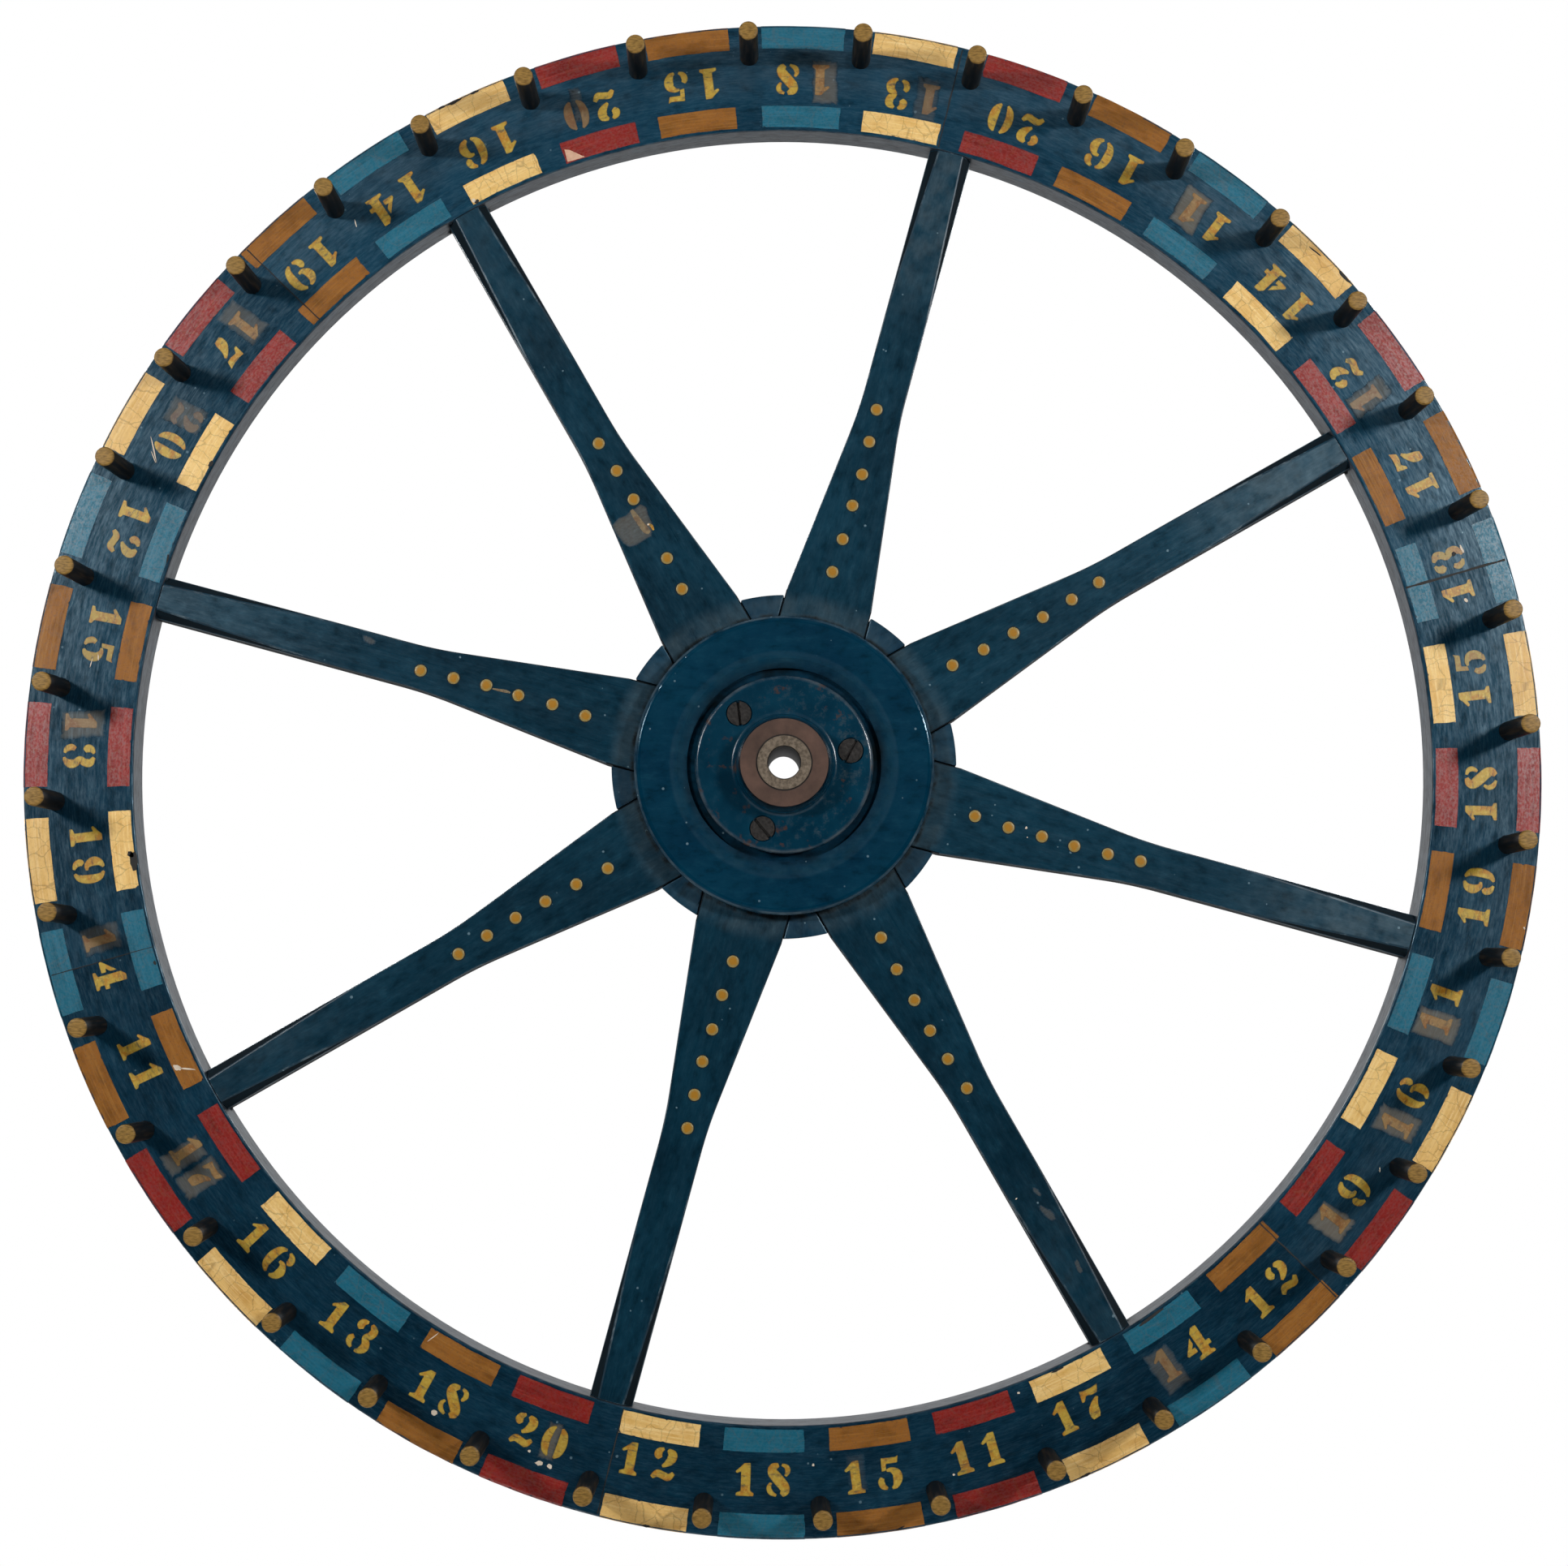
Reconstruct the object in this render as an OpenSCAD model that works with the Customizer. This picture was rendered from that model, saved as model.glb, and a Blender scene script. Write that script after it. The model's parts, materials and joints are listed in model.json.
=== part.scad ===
// Carnival game wheel: a spoked wooden wheel with pegs, turning on a steel axle sleeve.
// Every piece is drawn lying flat with the painted face towards +Z, about the wheel's centre,
// and is then stood upright, so that the painted face looks along -Y and the axle lies on Y.
// Angles run anticlockwise from +X, seen from the painted face.

/* [Rim] */
// Outside diameter of the wheel
rim_d = 762; // [640:1:1000]
// Width of the rim, from its inner edge to its outer edge
rim_w = 55; // [52:1:80]
// Thickness of each of the rim's two layers
felloe_t = 9.5; // [8:0.5:14]
// Radius of the eased long edges of the rim
rim_edge_r = 1.2; // [0.4:0.1:2]
// Open joint between neighbouring felloes of one layer
felloe_gap = 0.5; // [0.1:0.1:1]
// Angle from the first spoke to the first joint of the front layer
front_joint_turn = 1.25; // [0.5:0.25:3]

/* [Spokes] */
// Angle of the first spoke
wheel_turn = 74.8; // [0:0.1:90]
// Width of a spoke along its slim part
spoke_w = 21.7; // [16:0.1:26]
// Width of a spoke where it leaves the hub
root_w = 44.4; // [36:0.1:50]
// Distance from the wheel's centre at which the flared root ends
flare_end_r = 185; // [150:1:220]
// Radius of the soft bend between the root and the slim part
flare_bend_r = 240; // [60:5:300]
// Width of the stopped chamfers at the rim
chamfer_w = 4.6; // [2:0.1:6]
// Distance from the rim at which the chamfers run out
chamfer_l = 92; // [40:1:100]
// Length of the tongue that is let into the rear layer of the rim
tongue_l = 26; // [24:1:28]

/* [Hub] */
// Diameter of the ring of blocks between the spoke roots
hub_d = 173; // [160:1:190]
// Open joint between a block and a spoke root
block_gap = 0.4; // [0.1:0.1:1]
// Diameter of the two cover discs
cover_d = 150; // [140:1:155]
// Thickness of a cover disc
cover_t = 9.5; // [8:0.5:14]
// Radius of the rounded edge of a cover disc
cover_edge_r = 3; // [1:0.5:4]
// Depth of the recess that a flange sits in
recess_depth = 4; // [2:0.5:5]
// Gap around a flange in its recess
recess_gap = 4; // [1:0.5:5]
// Width of the bevel around the recess
recess_bevel = 5; // [2:0.5:6]

/* [Flanges] */
// Diameter of a flange plate
flange_d = 89; // [80:1:92]
// Thickness of a flange plate
flange_t = 6; // [5:0.5:8]
// Radius of the rounded edge of a flange plate
flange_edge_r = 2; // [0.5:0.5:3]
// Diameter of the boss where it rises from the plate
boss_base_d = 49; // [46:1:52]
// Diameter of the boss at its end
boss_end_d = 43.5; // [38:0.5:45]
// Height of the boss above the plate
boss_h = 11; // [8:1:24]
// Radius of the fillet between the boss and the plate
boss_fillet_r = 2.2; // [0.5:0.1:2.5]
// Diameter of the spigot behind the plate
spigot_d = 40; // [34:1:44]
// Length of the spigot behind the plate
spigot_l = 13; // [8:0.5:14]

/* [Axle sleeve] */
// Outside diameter of the sleeve
sleeve_d = 26.6; // [22:0.1:30]
// Bore for the axle bolt
bore_d = 16; // [8:0.1:18]
// Chamfer at each end of the bore
bore_chamfer = 0.5; // [0.3:0.1:2]
// How far the sleeve stands out of each boss
sleeve_proud = 0.5; // [0.2:0.1:3]
// Running clearance between the sleeve and a flange, on the radius
running_gap = 0.05; // [0.02:0.01:0.1]

/* [Pegs] */
// Diameter of a peg
peg_d = 9.5; // [6:0.1:12]
// How far a peg stands out of the painted face
peg_reach = 36; // [20:1:60]
// Distance from the rim's outer edge to the peg's axis
peg_inset = 16; // [12:0.5:18]
// Chamfer around a peg's tip
peg_tip_chamfer = 0.7; // [0.3:0.1:1.5]

/* [Screws] */
// Width of the slot in a screw head, as a share of the head's diameter
slot_share = 0.13; // [0.1:0.01:0.2]
// Depth of the slot
slot_depth = 1.1; // [0.6:0.1:1.4]
// Straight lip around a screw head
head_lip = 0.5; // [0.2:0.1:0.8]
// Head diameter of a flange screw
flange_screw_head_d = 12; // [10:0.5:13]
// Shank diameter of a flange screw
flange_screw_d = 6; // [4.5:0.5:7]
// Length of a flange screw
flange_screw_l = 22; // [16:1:26]
// Radius of the circle that the flange screws lie on
flange_screw_r = 33.8; // [32.5:0.1:35]
// Angle of the first flange screw on the painted side
flange_screw_turn = 11.5; // [6:0.5:54]
// Clearance around the head of a flange screw
flange_sink_gap = 0.5; // [0.1:0.1:0.6]
// Head diameter of a hub screw
hub_screw_head_d = 9; // [7:0.5:10]
// Shank diameter of a hub screw
hub_screw_d = 4.8; // [3.5:0.1:5.5]
// Length of a hub screw
hub_screw_l = 34; // [31:1:36]
// Radius of the circle that the hub screws lie on
hub_screw_r = 64; // [61:0.5:66]
// Head diameter of a rim screw
rim_screw_head_d = 7; // [6:0.5:8]
// Shank diameter of a rim screw
rim_screw_d = 3.6; // [2.5:0.1:4]
// Length of a rim screw
rim_screw_l = 15; // [12:0.5:15.5]
// Distance from each end of a spoke's tongue to the screw there
tongue_screw_inset = 7; // [5:0.5:8]
// Distance from the rim's inner edge to a felloe screw
felloe_screw_inset = 18; // [12:1:24]
// Angle from a rear joint to the felloe screw beside it
felloe_screw_turn = 2.2; // [1.8:0.1:3]

/* [Hidden] */
// Glue line or fitting gap around a wooden joint, a peg or a screw
fit_gap = 0.05;
// How far a cut runs past the face it starts from
over = 1;
$fn = 64;

// Counts
spoke_count = 8;
front_felloe_count = 6;
pegs_per_bay = 5;
flange_screw_count = 3;
bend_steps = 6;

// Slots of the three flange screws, each turned from the line that runs out to its screw
flange_slot_turns = [50, -35, 58];

// Angles
bay_angle = 360 / spoke_count;
peg_pitch = bay_angle / pegs_per_bay;
front_felloe_angle = 360 / front_felloe_count;
mitre = bay_angle / 2;

// Radii
rim_r = rim_d / 2;
rim_in_r = rim_r - rim_w;
hub_r = hub_d / 2;
peg_circle_r = rim_r - peg_inset;
flange_r = flange_d / 2;
recess_r = flange_r + recess_gap;
spigot_r = spigot_d / 2;
sleeve_r = sleeve_d / 2;

// Half widths across a spoke
slim_hw = spoke_w / 2;
root_hw = root_w / 2;

// Levels above the middle of the rim
cover_top = felloe_t + cover_t;
recess_floor = cover_top - recess_depth;
plate_top = recess_floor + flange_t;
boss_top = plate_top + boss_h;
sleeve_top = boss_top + sleeve_proud;

// Screw sizes as [head diameter, shank diameter, length]
flange_screw = [flange_screw_head_d, flange_screw_d, flange_screw_l];
hub_screw = [hub_screw_head_d, hub_screw_d, hub_screw_l];
rim_screw = [rim_screw_head_d, rim_screw_d, rim_screw_l];

// Colours of the paint and the metals
paint = "#123a55";
gold = "#a8873a";
iron = "#6b5148";
steel = "#8a8078";
rust = "#5f4f49";

function numbered(name, count) = [for (i = [1:count]) str(name, i)];
function spoke_turn(i) = wheel_turn + (i - 1) * bay_angle;
function mirrored(points) = [for (i = [len(points) - 1:-1:0]) [points[i].x, -points[i].y]];
function joint_angle(gap, r) = 2 * asin(gap / 2 / r);

// Places and turns that several pieces share

module upright() {
    rotate([90, 0, 0]) children();
}

module behind() {
    rotate([180, 0, 0]) children();
}

module at_polar(r, angle, z = 0) {
    rotate(angle) translate([r, 0, z]) children();
}

module slab(bottom, top) {
    translate([0, 0, bottom]) linear_extrude(top - bottom) children();
}

module disc(r, bottom, top) {
    translate([0, 0, bottom]) cylinder(r = r, h = top - bottom);
}

// Wood screws, drawn point down with the head flush at z = 0

module screw_form(size, gap, top, sink_gap = 0) {
    head_r = size[0] / 2 + gap + sink_gap;
    shank_r = size[1] / 2 + gap;
    sink_h = head_r - shank_r;
    tip_h = size[1];
    rotate_extrude() polygon([
        [0, top],
        [head_r, top],
        [head_r, -head_lip],
        [shank_r, -head_lip - sink_h],
        [shank_r, tip_h - size[2]],
        [0, -size[2] - gap]
    ]);
}

module wood_screw(size, slot_turn) {
    slot_w = size[0] * slot_share;
    difference() {
        screw_form(size, 0, 0);
        rotate(slot_turn) translate([-size[0], -slot_w / 2, -slot_depth])
            cube([2 * size[0], slot_w, slot_depth + over]);
    }
}

module screw_hole(size, sink_gap = 0) {
    screw_form(size, fit_gap, over, sink_gap);
}

// Where the screws stand: each places its children once for every screw

module front_flange_screw_places() {
    for (i = [0:flange_screw_count - 1]) {
        $screw = i;
        at_polar(flange_screw_r, flange_screw_turn + i * 360 / flange_screw_count, plate_top) children();
    }
}

module rear_flange_screw_places() {
    behind() for (i = [0:flange_screw_count - 1]) {
        $screw = i;
        at_polar(flange_screw_r, flange_screw_turn + i * 360 / flange_screw_count, plate_top) children();
    }
}

module hub_screw_places() {
    for (i = [1:spoke_count]) {
        $screw = i;
        at_polar(hub_screw_r, spoke_turn(i), -cover_top) behind() children();
    }
}

module spoke_end_screw_places() {
    insets = [tongue_screw_inset, tongue_l - tongue_screw_inset];
    for (i = [1:spoke_count], j = [0, 1]) {
        $screw = 2 * i + j;
        at_polar(rim_in_r + insets[j], spoke_turn(i), -felloe_t) behind() children();
    }
}

module felloe_screw_places() {
    for (i = [1:spoke_count], side = [-1, 1]) {
        $screw = 2 * i + side;
        at_polar(rim_in_r + felloe_screw_inset, spoke_turn(i) + mitre + side * felloe_screw_turn, -felloe_t)
            behind() children();
    }
}

module hub_screw_holes() {
    hub_screw_places() screw_hole(hub_screw);
}

module flange_screw_holes(sink_gap = 0) {
    front_flange_screw_places() screw_hole(flange_screw, sink_gap);
    rear_flange_screw_places() screw_hole(flange_screw, sink_gap);
}

module rim_screw_holes() {
    spoke_end_screw_places() screw_hole(rim_screw);
    felloe_screw_places() screw_hole(rim_screw);
}

// The root body: a plain steel tube that the axle bolt clamps to its stand

module axle_sleeve() {
    bore_r = bore_d / 2;
    color(steel) upright() rotate_extrude() polygon([
        [bore_r, bore_chamfer - sleeve_top],
        [bore_r + bore_chamfer, -sleeve_top],
        [sleeve_r, -sleeve_top],
        [sleeve_r, sleeve_top],
        [bore_r + bore_chamfer, sleeve_top],
        [bore_r, sleeve_top - bore_chamfer]
    ]);
}

// A cast flange: plate, conical boss and spigot, with the running bore through them

module flange_profile() {
    run_r = sleeve_r + running_gap;
    boss_base_r = boss_base_d / 2;
    boss_end_r = boss_end_d / 2;
    // Plate with its rounded edge
    translate([run_r, recess_floor])
        square([flange_r - flange_edge_r - run_r, flange_t]);
    translate([run_r, recess_floor])
        square([flange_r - run_r, flange_t - flange_edge_r]);
    translate([flange_r - flange_edge_r, plate_top - flange_edge_r]) circle(flange_edge_r);
    // Boss with the fillet at its foot
    polygon([
        [run_r, plate_top - flange_edge_r],
        [boss_base_r, plate_top - flange_edge_r],
        [boss_base_r, plate_top],
        [boss_end_r, boss_top],
        [run_r, boss_top]
    ]);
    difference() {
        translate([boss_base_r - boss_fillet_r, plate_top - over])
            square([2 * boss_fillet_r, boss_fillet_r + over]);
        translate([boss_base_r + boss_fillet_r, plate_top + boss_fillet_r]) circle(boss_fillet_r);
    }
    // Spigot
    translate([run_r, recess_floor - spigot_l])
        square([spigot_r - run_r, spigot_l + flange_edge_r]);
}

module flange() {
    difference() {
        rotate_extrude() flange_profile();
        front_flange_screw_places() screw_hole(flange_screw, flange_sink_gap);
    }
}

module front_flange() {
    color(iron) upright() flange();
}

module rear_flange() {
    color(iron) upright() behind() flange();
}

module front_flange_screws() {
    color(rust) upright() front_flange_screw_places() wood_screw(flange_screw, flange_slot_turns[$screw]);
}

module rear_flange_screws() {
    color(rust) upright() rear_flange_screw_places() wood_screw(flange_screw, flange_slot_turns[$screw]);
}

// A cover disc: rounded outer edge, and a bevelled recess for the flange

module cover_profile() {
    cover_r = cover_d / 2;
    hole_r = spigot_r + fit_gap;
    difference() {
        union() {
            translate([hole_r, felloe_t]) square([cover_r - hole_r, cover_t - cover_edge_r]);
            translate([hole_r, felloe_t]) square([cover_r - cover_edge_r - hole_r, cover_t]);
            translate([cover_r - cover_edge_r, cover_top - cover_edge_r]) circle(cover_edge_r);
        }
        translate([0, recess_floor]) square([recess_r, recess_depth + over]);
        polygon([
            [recess_r - over, recess_floor + recess_depth / 2],
            [recess_r, recess_floor + recess_depth / 2],
            [recess_r + recess_bevel, cover_top],
            [recess_r + recess_bevel, cover_top + over],
            [recess_r - over, cover_top + over]
        ]);
    }
}

module front_cover_disc() {
    color(paint) upright() difference() {
        rotate_extrude() cover_profile();
        flange_screw_holes();
        hub_screw_holes();
    }
}

module rear_cover_disc() {
    color(paint) upright() difference() {
        behind() rotate_extrude() cover_profile();
        flange_screw_holes();
        hub_screw_holes();
    }
}

module hub_screws() {
    color(rust) upright() hub_screw_places() wood_screw(hub_screw, 37 * $screw);
}

// A block that fills the hub between two spoke roots

module hub_block(i) {
    apex = [(root_hw + block_gap) / sin(mitre), 0];
    color(paint) upright() rotate(spoke_turn(i) + mitre) intersection() {
        slab(-felloe_t, felloe_t) polygon([
            apex,
            apex + hub_r * [cos(mitre), -sin(mitre)],
            apex + hub_r * [cos(mitre), sin(mitre)]
        ]);
        disc(hub_r, -felloe_t, felloe_t);
    }
}

// A spoke: mitred tip, parallel root in the hub, straight flare, soft bend and slim part

function spoke_side() =
    let (
        slope = atan((root_hw - slim_hw) / (flare_end_r - hub_r)),
        bend_x = flare_end_r + flare_bend_r * tan(slope / 2),
        bend_y = slim_hw + flare_bend_r,
        tip_x = fit_gap / sin(mitre)
    )
    concat(
        [[rim_in_r + over, slim_hw]],
        [
            for (k = [0:bend_steps])
                let (turn = -90 - slope * k / bend_steps)
                [bend_x + flare_bend_r * cos(turn), bend_y + flare_bend_r * sin(turn)]
        ],
        [[hub_r, root_hw], [tip_x + root_hw / tan(mitre), root_hw], [tip_x, 0]]
    );

module spoke_body() {
    side = spoke_side();
    sides = concat(side, [for (p = mirrored(side)) if (p.y != 0) p]);
    intersection() {
        slab(-felloe_t, felloe_t) polygon(sides);
        disc(rim_in_r - fit_gap, -felloe_t, felloe_t);
    }
}

// One stopped chamfer: a flat cut that starts at nothing and is chamfer_w wide at the rim
module chamfer_cut() {
    start = [rim_in_r - chamfer_l, slim_hw, felloe_t];
    along = [chamfer_l, -chamfer_w, 0];
    down = [0, chamfer_w, -chamfer_w];
    normal = cross(along, down) / norm(cross(along, down));
    away = normal.z > 0 ? normal : -normal;
    reach = 2 * rim_w;
    translate(start) rotate(acos(away.z), cross([0, 0, 1], away))
        translate([0, -reach, 0]) cube([chamfer_l + reach, 2 * reach, reach]);
}

// The rear half of a spoke's end, and the notch for it in the rear layer
module tongue() {
    translate([rim_in_r - over, -slim_hw, -felloe_t])
        cube([over + tongue_l, spoke_w, felloe_t - fit_gap]);
}

module tongue_notch() {
    translate([rim_in_r - over, -slim_hw - fit_gap, -felloe_t - over])
        cube([over + tongue_l + fit_gap, spoke_w + 2 * fit_gap, felloe_t + 2 * over]);
}

module spoke(i) {
    color(paint) upright() difference() {
        rotate(spoke_turn(i)) union() {
            difference() {
                spoke_body();
                chamfer_cut();
                mirror([0, 1, 0]) chamfer_cut();
            }
            tongue();
        }
        disc(spigot_r + fit_gap, -felloe_t - over, felloe_t + over);
        flange_screw_holes();
        hub_screw_holes();
        spoke_end_screw_places() screw_hole(rim_screw);
    }
}

module spoke_end_screws() {
    color(rust) upright() spoke_end_screw_places() wood_screw(rim_screw, 53 * $screw);
}

// The rim's two layers of felloes, with holes for the pegs

module felloe_profile() {
    r = rim_edge_r;
    translate([rim_in_r, 0]) square([rim_w, felloe_t - r]);
    translate([rim_in_r + r, 0]) square([rim_w - 2 * r, felloe_t]);
    translate([rim_in_r + r, felloe_t - r]) circle(r);
    translate([rim_r - r, felloe_t - r]) circle(r);
}

module felloe(angle) {
    joint = joint_angle(felloe_gap, rim_in_r);
    rotate(joint / 2) rotate_extrude(angle = angle - joint) felloe_profile();
}

module peg_places(bay) {
    for (j = [0:pegs_per_bay - 1])
        at_polar(peg_circle_r, spoke_turn(bay) + j * peg_pitch) children();
}

module peg_holes() {
    for (bay = [1:spoke_count])
        peg_places(bay) cylinder(d = peg_d + 2 * fit_gap, h = 4 * felloe_t, center = true);
}

module front_felloe(i) {
    turn = wheel_turn + front_joint_turn + (i - 1) * front_felloe_angle;
    color(paint) upright() difference() {
        rotate(turn) felloe(front_felloe_angle);
        peg_holes();
        rim_screw_holes();
    }
}

module rear_felloe(i) {
    color(paint) upright() difference() {
        rotate(spoke_turn(i) + mitre) behind() felloe(bay_angle);
        rotate(spoke_turn(i)) tongue_notch();
        peg_holes();
        felloe_screw_places() screw_hole(rim_screw);
    }
}

module felloe_screws() {
    color(rust) upright() felloe_screw_places() wood_screw(rim_screw, 71 * $screw);
}

// The pegs of one bay, driven through the rim and flush with its back

module peg() {
    peg_r = peg_d / 2;
    tip_z = felloe_t + peg_reach;
    rotate_extrude() polygon([
        [0, -felloe_t],
        [peg_r, -felloe_t],
        [peg_r, tip_z - peg_tip_chamfer],
        [peg_r - peg_tip_chamfer, tip_z],
        [0, tip_z]
    ]);
}

module pegs(bay) {
    color(gold) upright() peg_places(bay) peg();
}

axle_sleeve();
front_flange();
rear_flange();
front_flange_screws();
rear_flange_screws();
front_cover_disc();
rear_cover_disc();
hub_screws();
spoke_end_screws();
felloe_screws();
for (i = [1:spoke_count]) hub_block(i);
for (i = [1:spoke_count]) spoke(i);
for (i = [1:front_felloe_count]) front_felloe(i);
for (i = [1:spoke_count]) rear_felloe(i);
for (i = [1:spoke_count]) pegs(i);
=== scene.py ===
# Carnival game wheel: the paint, figures and wear on a spoked wooden wheel with pegs.
# Sizes are in millimetres and angles in degrees, anticlockwise from +X as seen from the painted face,
# which looks along -Y. MM turns a size into metres where a mesh is made.

import json
import math
import random

import bmesh
import bpy
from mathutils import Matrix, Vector

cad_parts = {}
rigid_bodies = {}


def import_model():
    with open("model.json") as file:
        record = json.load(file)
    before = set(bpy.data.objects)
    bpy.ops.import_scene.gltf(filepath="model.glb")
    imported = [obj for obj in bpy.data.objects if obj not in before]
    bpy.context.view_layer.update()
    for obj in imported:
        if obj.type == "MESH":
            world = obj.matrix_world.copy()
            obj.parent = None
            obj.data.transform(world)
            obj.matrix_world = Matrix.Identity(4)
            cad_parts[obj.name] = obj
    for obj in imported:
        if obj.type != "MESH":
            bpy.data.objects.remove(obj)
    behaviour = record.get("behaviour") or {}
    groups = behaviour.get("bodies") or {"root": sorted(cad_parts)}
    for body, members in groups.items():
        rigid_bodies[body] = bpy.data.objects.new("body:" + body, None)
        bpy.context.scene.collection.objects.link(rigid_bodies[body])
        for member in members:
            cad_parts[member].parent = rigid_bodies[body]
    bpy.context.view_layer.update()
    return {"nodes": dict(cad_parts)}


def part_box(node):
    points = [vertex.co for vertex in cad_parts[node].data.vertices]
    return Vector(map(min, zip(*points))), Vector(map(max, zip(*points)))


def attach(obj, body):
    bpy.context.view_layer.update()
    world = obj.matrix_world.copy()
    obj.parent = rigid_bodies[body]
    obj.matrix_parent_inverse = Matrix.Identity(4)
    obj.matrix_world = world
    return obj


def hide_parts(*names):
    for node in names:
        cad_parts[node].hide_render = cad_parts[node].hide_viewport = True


for left_over in list(bpy.data.objects):
    bpy.data.objects.remove(left_over)
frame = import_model()

# Sizes taken from the frame

MM = 0.001


def radii(node):
    """The smallest and largest distance of a node from the axle."""
    spread = [math.hypot(v.co.x, v.co.z) / MM for v in frame["nodes"][node].data.vertices]
    return min(spread), max(spread)


RIM_IN, RIM_OUT = radii("front_felloe_1")
RIM_MID = (RIM_IN + RIM_OUT) / 2
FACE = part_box("front_felloe_1")[0].y / MM
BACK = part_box("rear_felloe_1")[1].y / MM
PEG_NEAR, PEG_FAR = radii("pegs_1")
PEG_CIRCLE = (PEG_NEAR + PEG_FAR) / 2
PEG_R = (PEG_FAR - PEG_NEAR) / 2
PEG_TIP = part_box("pegs_1")[0].y / MM
FLANGE_R = radii("front_flange")[1]
BOSS_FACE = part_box("front_flange")[0].y / MM
COVER_R = radii("front_cover_disc")[1]
SLEEVE_BORE, SLEEVE_R = radii("axle_sleeve")

# Sizes of the layout

WHEEL_TURN = 74.8
SPOKE_COUNT = 8
BAY = 360 / SPOKE_COUNT
PEGS_PER_BAY = 5
PEG_PITCH = BAY / PEGS_PER_BAY
FRONT_FELLOE_COUNT = 6
FRONT_FELLOE_ANGLE = 360 / FRONT_FELLOE_COUNT
FRONT_JOINT_TURN = 1.25
RIM_EDGE_R = 1.2
SEGMENT_COUNT = 40
FIRST_SEGMENT = 88.3
SEGMENT_STEP = -360 / SEGMENT_COUNT

# Paint lies this far over the wood, and its slabs start this far under it
BLOCK_FILM = 0.12
PATCH_FILM = 0.10
FIGURE_FILM = 0.17
CHIP_FILM = 0.22
FILM_SINK = 0.05

# The four colours follow each other round the rim, one pair of blocks to a segment.
# A row of blocks is (near, far, span)
BLOCK_COLOURS = ["blue", "cream", "red", "ochre"]
OUTER_BLOCK = (368.8, 380.9, 6.5)
INNER_BLOCK = (327.7, 338.9, 6.8)
BLOCK_WOBBLE = 1.2
BLOCK_GRID = (33, 11)
# How far along the rim each segment's blocks lie from their mark, by the painter's eye
BLOCK_SHIFTS = [
    1.3, 2.4, 2.9, 3.0, 2.5, 1.8, 0.8, -0.8, -0.8, -0.8,
    -0.8, -0.8, -1.6, -1.3, -1.9, -2.0, -1.3, -1.6, -0.5, -0.5,
    0.0, 1.0, -1.5, 0.6, 0.8, 1.6, -0.2, -1.4, -1.9, 0.0,
    0.5, -0.5, -0.5, 1.3, 0.9, 0.5, 1.2, 1.2, 0.5, 1.8,
]

# Figures: every segment's number, how far its middle lies out from the axle and along the rim from its mark
FIGURE_H = 16.0
FIGURE_STARTS = (-14.9, 0.8)
FIGURE_BORDER = 0.55
# The most that a border takes of a stroke's width, and that a corner's round takes of a side
BORDER_SHARE = 0.3
ROUND_SHARE = 0.4
FIGURE_SLIP = 0.2
FIGURE_RISE = 0.3
NINE_W = 13.2
NUMBERS = [
    (18, 352.8, 1.7), (13, 350.0, 0.4), (20, 350.2, 0.6), (16, 352.6, 1.7), (11, 352.8, 4.0),
    (14, 350.2, 1.3), (12, 349.0, -1.8), (17, 353.0, 0.6), (13, 351.6, -0.6), (15, 349.8, 0.7),
    (18, 350.2, -2.2), (19, 352.8, 0.4), (11, 349.2, -1.4), (16, 352.8, -0.8), (19, 352.8, -1.0),
    (12, 353.8, -1.5), (14, 351.0, -1.0), (17, 350.0, -2.8), (11, 352.4, -1.7), (15, 352.4, 0.2),
    (18, 352.4, 1.1), (12, 349.5, -0.7), (20, 352.0, -0.8), (18, 353.2, 1.2), (13, 350.6, 1.4),
    (16, 350.6, 0.0), (17, 352.4, 1.0), (11, 351.6, -1.6), (14, 352.0, -2.2), (19, 350.6, 0.7),
    (13, 353.2, -1.1), (15, 349.2, -0.4), (12, 351.2, 0.2), (20, 350.2, -0.7), (17, 352.8, 0.1),
    (19, 350.6, 0.4), (14, 350.4, -0.3), (16, 351.8, 1.2), (20, 350.4, 1.1), (15, 352.6, 3.3),
]
# Figures that have faded, as (segment, place in the number) and the share that is gone
FADED = {
    (1, 0): 0.4, (6, 0): 0.3, (8, 1): 0.35, (9, 1): 0.35, (16, 0): 0.25, (18, 0): 0.15, (22, 1): 0.1,
    (28, 0): 0.2, (30, 0): 0.2, (31, 0): 0.2, (31, 1): 0.3, (32, 1): 0.25, (33, 0): 0.6, (38, 1): 0.3,
}

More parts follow.
